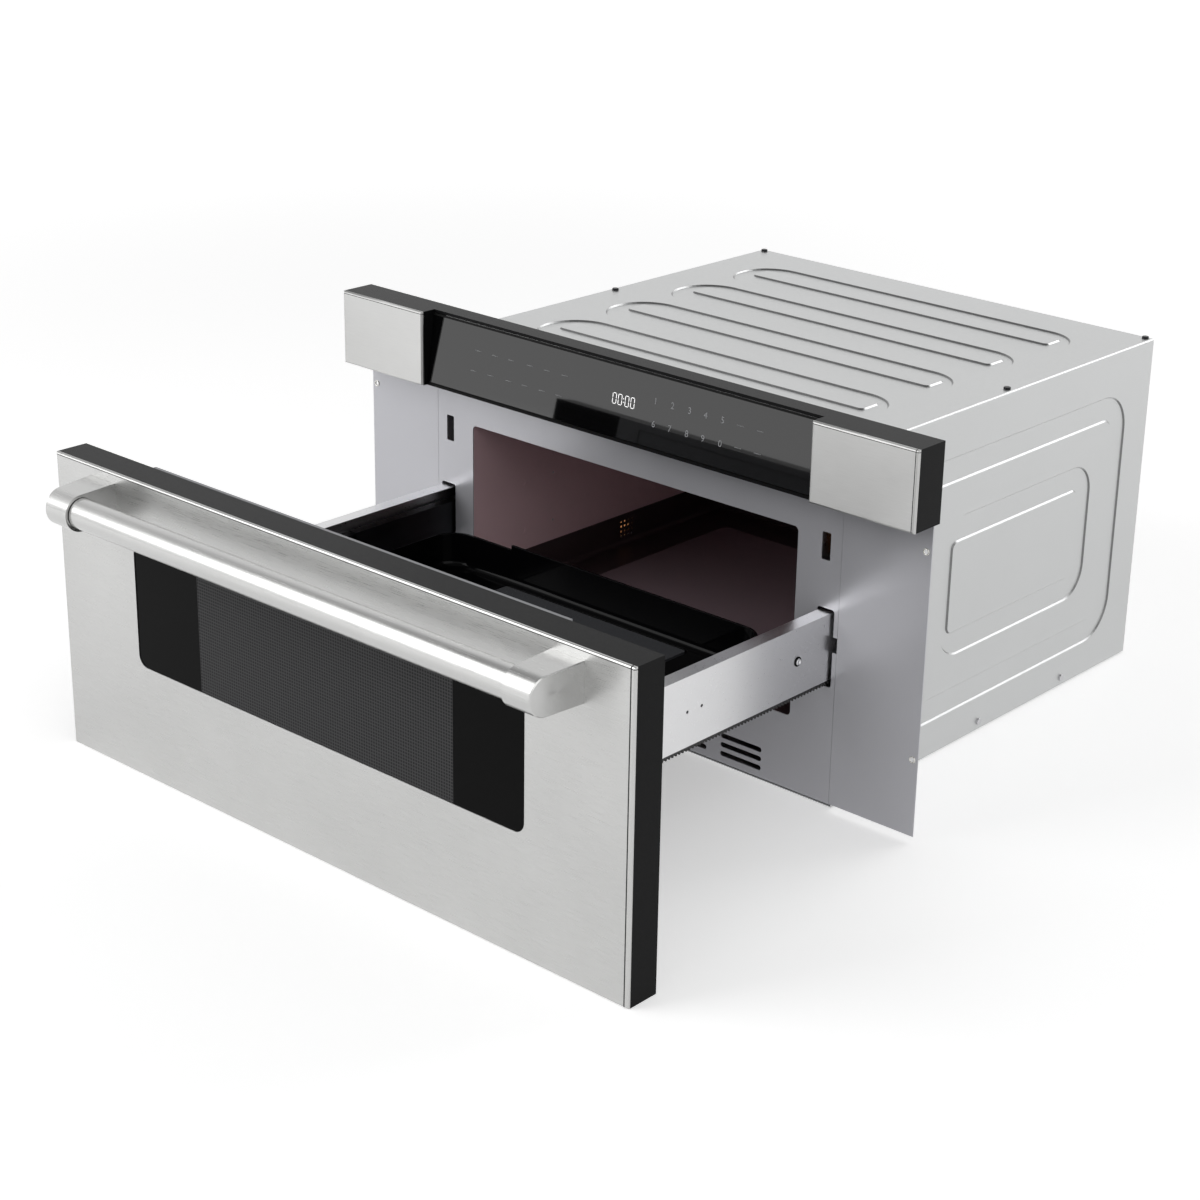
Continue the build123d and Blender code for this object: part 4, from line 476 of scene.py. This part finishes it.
class DRAWER_OT_drawer_finishes(DressOperator, bpy.types.Operator):
    """Give the drawer front, its handle, tray and rails their finishes"""
    bl_idname = "drawer.drawer_finishes"
    bl_label = "Drawer finishes"

    def execute(self, context):
        c = context.scene.drawer_colours
        # Stainless sheet, brushed along X: fine lines that stretch a highlight. They are
        # about 0.2 mm wide; here they are 0.5 mm so that they show. Thin dark lines at its
        # bends at the side and at the top are painted reflections: the dark that a rounded
        # bend mirrors.
        dress(finish("brushed stainless sheet", c.stainless, metallic=1.0, roughness=0.3,
                     grain=0.5, stretch=(60, 3, 1), contrast=0.13, spread=0.05,
                     edge_mm=0.2, brushed=0.8,
                     shade_lines=((0, SKIN_X - 4.4 * MM, 0.7 * MM),
                            (2, DOOR_TOP - 2.4 * MM, 0.35 * MM))), "drawer_skin")
        # Drawn tube and cast posts, satin polished along their length: a soft bright band
        # along the bar. The lines are drawn at 0.5 mm here too, so that they show.
        satin = finish("satin stainless bar", c.stainless, metallic=1.0, roughness=0.24,
                       grain=0.5, stretch=(60, 3, 1), contrast=0.1, spread=0.04,
                       edge_mm=0.2, brushed=0.7, around="X")
        dress(satin, "handle_bar", "handle_post_right", "handle_post_left")
        dress(window_finish("printed window glass", c.window_glass, c.window_mesh),
              "window_glass")
        # Punched sheet, blackened: flat and dark behind the glass.
        dress(finish("blackened punched sheet", linear("#1B1B1C"), metallic=1.0,
                     roughness=0.5), "window_screen")
        # Powder-coated steel: even, slightly pebbled grey.
        dress(finish("grey powder coat", linear("#8E8F92"), roughness=0.5, grain=1.1,
                     relief=0.04), "choke_cover")
        # Vitreous enamel: black glass fused on steel, glossy and slightly wavy.
        dress(finish("black vitreous enamel", c.tray, roughness=0.1, grain=14.0,
                     contrast=0.2, spread=0.03, relief=0.03, specular=0.08, edge_mm=0.9),
              "tray")
        # Glass-ceramic: smooth grey with a faint speckle.
        dress(finish("grey glass-ceramic", c.shelf, roughness=0.2, grain=1.6, contrast=0.12,
                     specular=0.4), "shelf")
        # Blackened zinc on rolled steel, oiled: dark, streaked along the slide.
        dress(finish("black zinc slide steel", linear("#3B3B3E"), metallic=1.0,
                     roughness=0.35, grain=3.0, stretch=(1, 20, 1)),
              "slide_drawer_right", "slide_drawer_left", "slide_middle_right",
              "slide_middle_left", "slide_fixed_right", "slide_fixed_left")
        # Acetal, moulded: black, waxy and smooth.
        dress(finish("black acetal", linear("#141415"), roughness=0.4, grain=1.5),
              "latch_hooks", "drive_rack")
        # Plated steel: bright and lightly worn.
        dress(screw_finish("zinc-plated handle screws", linear("#C8C8CA"),
                           linear("#2B2B2D")), "handle_screws")
        return {"FINISHED"}


class DRAWER_OT_inside_finishes(DressOperator, bpy.types.Operator):
    """Give the cavity and the parts inside the case their finishes"""
    bl_idname = "drawer.inside_finishes"
    bl_label = "Inside finishes"

    def execute(self, context):
        c = context.scene.drawer_colours
        # Baked enamel paint, slightly glossy. The lowest 38 mm of the walls are darkened:
        # painted shade, as under the drawer.
        shade_band_middle, shade_band_half = 99 * MM, 19 * MM
        dress(finish("cavity enamel", c.cavity, roughness=0.36, grain=1.2, contrast=0.05,
                     spread=0.05, relief=0.02, shade_lines=((2, shade_band_middle, shade_band_half),)),
              "cavity_box")
        # Mica-grey ceramic plate: matt with fine specks.
        dress(finish("matt ceramic plate", linear("#7C6C72"), roughness=0.6, grain=1.4,
                     contrast=0.12), "floor_plate")
        # Bright zinc plating: clean, lightly clouded metal.
        dress(finish("bright zinc plate", linear("#B5B7BA"), metallic=1.0, roughness=0.32,
                     grain=8.0), "waveguide", "fan_motor", "lamp_holder", "motor_mount",
              "interlock_brackets", "slide_brackets")
        # Spring bronze: warm copper-coloured strip, lightly tarnished.
        dress(finish("spring bronze", linear("#B06B3A"), metallic=1.0, roughness=0.35,
                     grain=4.0, contrast=0.2), "interlock_lever_right",
              "interlock_lever_left")
        # Rolled and pressed aluminium: dull grey, drawn out along X.
        dress(finish("dull aluminium", linear("#C4C6C9"), metallic=1.0, roughness=0.4,
                     grain=2.0, stretch=(8, 1, 1)), "antenna", "magnetron", "capacitor",
              "thermal_cutout")
        # Varnished laminations: brown-black and grainy.
        dress(finish("varnished iron core", linear("#4A3A30"), roughness=0.55, grain=0.6,
                     stretch=(20, 20, 1), contrast=0.3), "transformer")
        # Glass-fibre board under solder mask: dark green and slightly glossy.
        dress(finish("green circuit board", linear("#1E5A3A"), roughness=0.35, grain=1.0,
                     contrast=0.25), "control_board", "power_board")
        # Nylon: milky white, a little waxy.
        dress(finish("natural nylon", linear("#DEDCD3"), roughness=0.45, grain=2.0),
              "antenna_motor", "fan_impeller", "air_duct", "drive_pinion")
        # Nylon filled with carbon black: dull and even.
        dress(finish("black nylon", linear("#161617"), roughness=0.45, grain=1.2,
                     relief=0.02), "fan_frame", "drive_motor", "interlock_switches")
        # Capsule lamp: warm glow through the holes in the cavity wall.
        dress(finish("lit lamp glass", linear("#FFB070"), roughness=0.2, emit=0.5),
              "lamp_bulb")
        return {"FINISHED"}


class DRAWER_OT_clock(DressOperator, bpy.types.Operator):
    """Draw the lit seven-segment clock behind the control glass"""
    bl_idname = "drawer.clock"
    bl_label = "Clock digits"

    def execute(self, context):
        c = context.scene.drawer_colours
        s = context.scene.drawer_sizes
        tall = s.clock_height
        wide = tall * 0.44
        bar = tall * 0.062              # width of a segment
        half = tall / 4 - bar * 0.95    # half its length, with a gap to the next one
        colon_up, colon_wide, colon_high = tall * 0.17, 1.1, 0.25
        # Middles of the four digits, in pitches; the colon stands between the inner two.
        columns = (-1.62, -0.62, 0.62, 1.62)
        segment = box_at("segment", (-bar / 2, -half, -s.mark_relief / 2),
                         (bar / 2, half, s.mark_relief / 2))
        # Its ends are drawn out and pinched, so that neighbours meet at a slant.
        pick(segment, lambda middle, normal: abs(normal.y) > 0.9)
        bpy.ops.mesh.extrude_region_shrink_fatten(
            TRANSFORM_OT_shrink_fatten={"value": bar / 2})
        bpy.ops.transform.resize(value=(0.25, 1, 1))
        bpy.ops.object.mode_set(mode="OBJECT")
        quarter = Matrix.Rotation(math.pi / 2, 4, "Z")
        cross = 0.9 * wide / (tall / 2)     # a crosswise segment's length over an upright's
        squeeze = Matrix.Diagonal((1, cross, 1, 1))
        uprights = [(side * wide / 2, level * tall / 4) for side in (-1, 1)
                    for level in (-1, 1)]
        middle = on_glass(CLOCK_X, CLOCK_UP)
        # Each digit is a 0: four uprights, a top and a bottom.
        parts = []
        for column in columns:
            here = middle @ Matrix.Translation((column * s.clock_pitch, 0, 0))
            for x, y in uprights:
                parts.append(copied(segment, "segment",
                                    here @ Matrix.Translation((x, y, 0))))
            for y in (-tall / 2, tall / 2):
                parts.append(copied(segment, "segment", here @ Matrix.Translation((0, y, 0))
                                    @ quarter @ squeeze))
        for y in (-colon_up, colon_up):
            parts.append(copied(segment, "segment",
                                middle @ Matrix.Translation((0, y, 0))
                                @ Matrix.Diagonal((colon_wide, colon_high, 1, 1))))
        bpy.data.objects.remove(segment)
        digits = joined(parts, "clock_digits")
        # Light-emitting display: white and lit from within.
        lit = finish("lit display", c.clock, roughness=0.4, grain=3.0, contrast=0.02,
                     emit=0.95)
        finished(digits, lit, "case")
        return {"FINISHED"}


class DRAWER_OT_key_marks(DressOperator, bpy.types.Operator):
    """Print the digits and the generic marks of the touch keys"""
    bl_idname = "drawer.key_marks"
    bl_label = "Key marks"

    def execute(self, context):
        c = context.scene.drawer_colours
        s = context.scene.drawer_sizes
        # Each row's height on the glass, its digits and their places, all in mm.
        rows = ((10.1, "12345", (55.5, 77.4, 99.2, 119.5, 140.8)),
                (-12.8, "67890", (56.0, 77.0, 98.9, 119.4, 141.0)))
        digits = []
        for up, text, places in rows:
            for digit, x in zip(text, places):
                shape = text_mesh(digit, s.digit_height, s.mark_relief)
                shape.data.transform(on_glass(x, up))
                digits.append(shape)
        # Screen-printed ink: matt grey, and dimmer on the small marks.
        ink = finish("printed ink", c.marks, roughness=0.5, grain=1.5, contrast=0.05)
        finished(joined(digits, "key_digits"), ink, "case")
        # A plain bar marks each of the other keys: the rows' heights and places, in mm.
        rows = ((9.8, (-189, -165, -142, -115, -91, -66, 163, 187)),
                (-11.9, (-193, -168, -142, -119, -95, -72, 163, 187)))
        wide = s.mark_height * 4.2
        high = s.mark_height * 0.4
        relief = s.mark_relief / 2
        bar = box_at("bar", (-wide / 2, -high / 2, -relief), (wide / 2, high / 2, relief))
        soften(bar, high * 0.4)
        bars = [copied(bar, "bar", on_glass(x, up)) for up, places in rows for x in places]
        bpy.data.objects.remove(bar)
        faint = finish("dim printed ink", c.faint_marks, roughness=0.5, grain=1.5,
                       contrast=0.05)
        finished(joined(bars, "key_bars"), faint, "case")
        return {"FINISHED"}


class DRAWER_OT_handle_rings(DressOperator, bpy.types.Operator):
    """Put a dark ring in the groove between the bar and each post, as painted shade of the
    groove
    """
    bl_idname = "drawer.handle_rings"
    bl_label = "Handle rings"

    def execute(self, context):
        # Soft black and quite matt: painted shade, a dark ring that stands for the shade in
        # the groove.
        shade_filler = finish("black handle groove shade", linear("#101011"), roughness=0.6, grain=1.0)
        sunk, thick, band = 0.5 * MM, 0.8 * MM, 0.9 * MM
        ring_x = BAR_END + 0.5 * MM
        deselect()
        bpy.ops.mesh.primitive_cylinder_add(
            vertices=64, radius=BAR_RADIUS - sunk, depth=thick,
            location=(ring_x, BAR_Y, BAR_Z), rotation=(0, math.pi / 2, 0))
        ring = settle(bpy.context.object)
        ring.name = "handle_ring_right"
        pick(ring, lambda middle, normal: abs(normal.x) > 0.9)
        bpy.ops.mesh.inset(thickness=band, use_individual=True)
        bpy.ops.mesh.bridge_edge_loops()
        bpy.ops.object.mode_set(mode="OBJECT")
        bpy.ops.object.shade_smooth_by_angle(angle=SMOOTH_ANGLE)
        twin = copied(ring, "handle_ring_left", Matrix.Translation((-2 * ring_x, 0, 0)))
        finished(ring, shade_filler, "drawer")
        finished(twin, shade_filler, "drawer")
        return {"FINISHED"}


class DRAWER_OT_eyelets(DressOperator, bpy.types.Operator):
    """Put a bright eyelet in each cabinet screw hole of the flanges"""
    bl_idname = "drawer.eyelets"
    bl_label = "Eyelets"

    def execute(self, context):
        s = context.scene.drawer_sizes
        # Nickel-plated brass, rolled over the edge of its hole: bright and warm.
        nickel = finish("nickel-plated eyelet", linear("#D6D5D0"), metallic=1.0,
                        roughness=0.2, grain=1.5)
        bead = 0.8 * MM                 # radius of the rolled edge
        proud = 0.1 * MM
        deselect()
        bpy.ops.mesh.primitive_torus_add(
            major_segments=40, minor_segments=10, major_radius=s.eyelet - bead,
            minor_radius=bead, rotation=(math.pi / 2, 0, 0))
        eyelet = settle(bpy.context.object)
        bpy.ops.object.shade_smooth()
        places = [(side * FLANGE_HOLE_X, PLATE_Y - proud, level) for side in (-1, 1)
                  for level in FLANGE_HOLES_Z]
        rings = [copied(eyelet, "eyelet", Matrix.Translation(place)) for place in places]
        bpy.data.objects.remove(eyelet)
        finished(joined(rings, "flange_eyelets"), nickel, "case")
        return {"FINISHED"}


class DRAWER_OT_rail_screws(DressOperator, bpy.types.Operator):
    """Put a pan-head screw with a dark washer on each rail, over its dimple"""
    bl_idname = "drawer.rail_screws"
    bl_label = "Rail screws"

    def execute(self, context):
        # Zinc-plated steel: clean and bright.
        zinc = finish("bright zinc screw", linear("#D2D2D4"), metallic=1.0, roughness=0.22,
                      grain=1.5)
        # Phosphated spring steel: near black, dull.
        black = finish("phosphated washer", linear("#1C1C1D"), metallic=1.0, roughness=0.5)
        rim, crown = 0.9 * MM, 0.5 * MM         # the head's sloped rim
        socket_wall, socket_deep = 1.1 * MM, 0.9 * MM
        pieces = (("rail_washer", 5.0 * MM, 0.5 * MM, black),
                  ("rail_screw", 3.4 * MM, 1.6 * MM, zinc))
        for name, radius, high, material in pieces:
            deselect()
            bpy.ops.mesh.primitive_cylinder_add(
                vertices=40, radius=radius, depth=high, rotation=(0, math.pi / 2, 0),
                location=(RAIL_FACE + high / 2, RAIL_DIMPLE_Y, RAIL_DIMPLE_Z))
            head = settle(bpy.context.object)
            head.name = name + "_right"
            if material is zinc:
                pick(head, lambda middle, normal: normal.x > 0.9)
                bpy.ops.mesh.inset(thickness=rim)
                bpy.ops.transform.translate(value=(crown, 0, 0))
                bpy.ops.mesh.inset(thickness=socket_wall)
                bpy.ops.transform.translate(value=(-socket_deep, 0, 0))
                bpy.ops.object.mode_set(mode="OBJECT")
            twin = copied(head, name + "_left", Matrix.Rotation(math.pi, 4, "Z")
                          @ Matrix.Translation((0, -2 * RAIL_DIMPLE_Y, 0)))
            finished(head, material, "drawer")
            finished(twin, material, "drawer")
        return {"FINISHED"}


class DRAWER_OT_glass_shade_strip(DressOperator, bpy.types.Operator):
    """Lay a dark strip along the top edge of the control glass, as painted shade of the
    groove above it
    """
    bl_idname = "drawer.glass_seal"
    bl_label = "Glass seal"

    def execute(self, context):
        s = context.scene.drawer_sizes
        # Dull black: painted shade, a dark strip that stands for the shade in the groove
        # above the glass.
        shade_filler = finish("black glass groove shade", linear("#060606"), roughness=0.7, grain=1.0,
                        specular=0.2, edge_mm=0)
        thick = 0.25 * MM
        low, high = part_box("touch_glass")
        half = (high.x - low.x) / 2
        up = (high.z - low.z) / 2 / math.cos(GLASS_LEAN) - s.groove_strip
        groove_strip = box_at("glass_shade_strip", (-half, up, 0), (half, up + s.groove_strip, thick))
        groove_strip.data.transform(on_glass(0, 0))
        finished(groove_strip, shade_filler, "case")
        return {"FINISHED"}


class DRAWER_OT_stage(DressOperator, bpy.types.Operator):
    """Set the floor, the lamps, the world and the camera"""
    bl_idname = "drawer.stage"
    bl_label = "Studio"

    def execute(self, context):
        scene = context.scene
        floor_size, floor_gap = 40, 0.2 * MM
        deselect()
        bpy.ops.mesh.primitive_plane_add(size=floor_size,
                                         location=(0, 0, DOOR_LOW - floor_gap))
        floor = bpy.context.object
        floor.name = "studio_floor"
        floor.data.materials.append(floor_finish(scene.drawer_colours.floor))
        # Each lamp's name, place, aim, width in metres and power in watts.
        lamps = (("key_lamp", (-1.6, -2.6, 1.9), (0, -0.2, 0.2), 2.2, 40.0),
                 ("fill_lamp", (2.8, -1.4, 2.2), (0, 0, 0.2), 2.4, 15.0),
                 ("back_lamp", (0.9, 2.4, 2.1), (0, 0, 0.2), 2.0, 24.0))
        for name, place, aim, size, power in lamps:
            bpy.ops.object.light_add(type="AREA", location=place)
            lamp = bpy.context.object
            lamp.name = name
            lamp.data.size = size
            lamp.data.energy = power
            away = Vector(place) - Vector(aim)
            lamp.rotation_euler = away.to_track_quat("Z", "Y").to_euler()
        set_world(scene)
        set_camera(scene)
        scene.view_settings.view_transform = "Standard"
        return {"FINISHED"}


def background(tree):
    """1 where a ray comes from the camera, a gloss or a glass."""
    path = add(tree, "ShaderNodeLightPath")
    seen = path.outputs["Is Camera Ray"]
    for ray in ("Is Glossy Ray", "Is Transmission Ray"):
        seen = add(tree, "ShaderNodeMath", {0: seen, 1: path.outputs[ray]},
                   operation="MAXIMUM").outputs[0]
    return seen


def floor_finish(rgb):
    """Pale floor that is white where it is only background, and keeps the shadow."""
    near, far = 1.4, 4.5                # metres from the middle of the floor
    near_lift, far_lift = 0.42, 0.8
    material, tree, place = new_material("pale studio floor")
    speck = grain_value(tree, place, 3.0)
    tone = add(tree, "ShaderNodeMix",
               {FACTOR: speck, COLOUR_A: opaque(rgb, 0.99), COLOUR_B: opaque(rgb)},
               data_type="RGBA").outputs[2]
    matt = add(tree, "ShaderNodeBsdfDiffuse", {"Color": tone})
    # The floor brightens away from the object, until it meets the white background.
    away = add(tree, "ShaderNodeVectorMath", {0: place}, operation="LENGTH")
    glow = add(tree, "ShaderNodeMapRange",
               {"Value": away.outputs["Value"], "From Min": near, "From Max": far,
                "To Min": near_lift, "To Max": far_lift}, interpolation_type="SMOOTHSTEP")
    lift = add(tree, "ShaderNodeMath", {0: background(tree), 1: glow.outputs[0]},
               operation="MULTIPLY").outputs[0]
    glow = add(tree, "ShaderNodeEmission", {"Color": (1, 1, 1, 1), "Strength": lift})
    both = add(tree, "ShaderNodeAddShader", {0: matt.outputs[0], 1: glow.outputs[0]})
    add(tree, "ShaderNodeOutputMaterial", {"Surface": both.outputs[0]})
    return material


def set_world(scene):
    """White background, and a plain soft light from all round."""
    light_level = 0.38              # what falls on matt surfaces
    white, ceiling = 1.0, 0.28      # what the camera, gloss and glass see
    ceiling_starts, ceiling_full = 0.55, 0.8    # sine of the height above the horizon
    world = bpy.data.worlds.new("studio")
    scene.world = world
    world.use_nodes = True
    tree = world.node_tree
    tree.nodes.clear()
    # White at the height of the eye and dimmer overhead, as under a studio's ceiling.
    way = add(tree, "ShaderNodeSeparateXYZ",
              {"Vector": add(tree, "ShaderNodeTexCoord").outputs["Generated"]})
    sky = add(tree, "ShaderNodeMapRange",
              {"Value": way.outputs["Z"], "From Min": ceiling_starts,
               "From Max": ceiling_full, "To Min": white, "To Max": ceiling},
              interpolation_type="SMOOTHSTEP")
    strength = add(tree, "ShaderNodeMix", {FACTOR: background(tree), VALUE_A: light_level,
                                           VALUE_B: sky.outputs[0]})
    light = add(tree, "ShaderNodeBackground",
                {"Color": (1, 1, 1, 1), "Strength": strength.outputs[0]})
    add(tree, "ShaderNodeOutputWorld", {"Surface": light.outputs[0]})


def set_camera(scene):
    """Camera at the photographed angle; its image is 1200 by 1200."""
    image, sensor = 1200, 36            # pixels, mm
    # Focal length and image centre in pixels, and the turn as an axis times its angle.
    focal, middle_x, middle_y = 2459.11, 697.763, 567.386
    turn = Vector((1.8368625, 0.6966687, -0.4372059))
    place = (1.55958, -2.03757, 1.08951)
    rows = Matrix.Rotation(turn.length, 3, turn.normalized())
    right, down, ahead = rows
    axes = Matrix((right, -down, -ahead)).transposed().to_4x4()
    deselect()
    bpy.ops.object.camera_add()
    camera = bpy.context.object
    camera.name = "camera"
    camera.matrix_world = Matrix.Translation(place) @ axes
    camera.data.sensor_width = sensor
    camera.data.lens = focal / image * sensor
    camera.data.shift_x = (image / 2 - middle_x) / image
    camera.data.shift_y = (middle_y - image / 2) / image
    camera.data.clip_end = 100
    scene.camera = camera


OPERATORS = (DRAWER_OT_case_finishes, DRAWER_OT_drawer_finishes, DRAWER_OT_inside_finishes,
             DRAWER_OT_clock, DRAWER_OT_key_marks, DRAWER_OT_handle_rings,
             DRAWER_OT_eyelets, DRAWER_OT_rail_screws, DRAWER_OT_glass_shade_strip,
             DRAWER_OT_stage)


class DRAWER_PT_pieces(bpy.types.Panel):
    """Lists the pieces of the microwave drawer"""
    bl_idname = "DRAWER_PT_pieces"
    bl_label = "Microwave drawer"
    bl_space_type = "VIEW_3D"
    bl_region_type = "UI"
    bl_category = "Microwave drawer"

    def draw(self, context):
        for operator in OPERATORS:
            self.layout.operator(operator.bl_idname)
        for group in (context.scene.drawer_colours, context.scene.drawer_sizes):
            for name in group.bl_rna.properties.keys():
                if name not in ("rna_type", "name"):
                    self.layout.prop(group, name)


CLASSES = (DrawerColours, DrawerSizes) + OPERATORS + (DRAWER_PT_pieces,)


def register():
    for item in CLASSES:
        bpy.utils.register_class(item)
    bpy.types.Scene.drawer_colours = PointerProperty(type=DrawerColours)
    bpy.types.Scene.drawer_sizes = PointerProperty(type=DrawerSizes)


def unregister():
    del bpy.types.Scene.drawer_sizes
    del bpy.types.Scene.drawer_colours
    for item in reversed(CLASSES):
        bpy.utils.unregister_class(item)


def main():
    register()
    for operator in OPERATORS:
        group, name = operator.bl_idname.split(".")
        getattr(getattr(bpy.ops, group), name)()
    deselect()


if __name__ == "__main__":
    main()
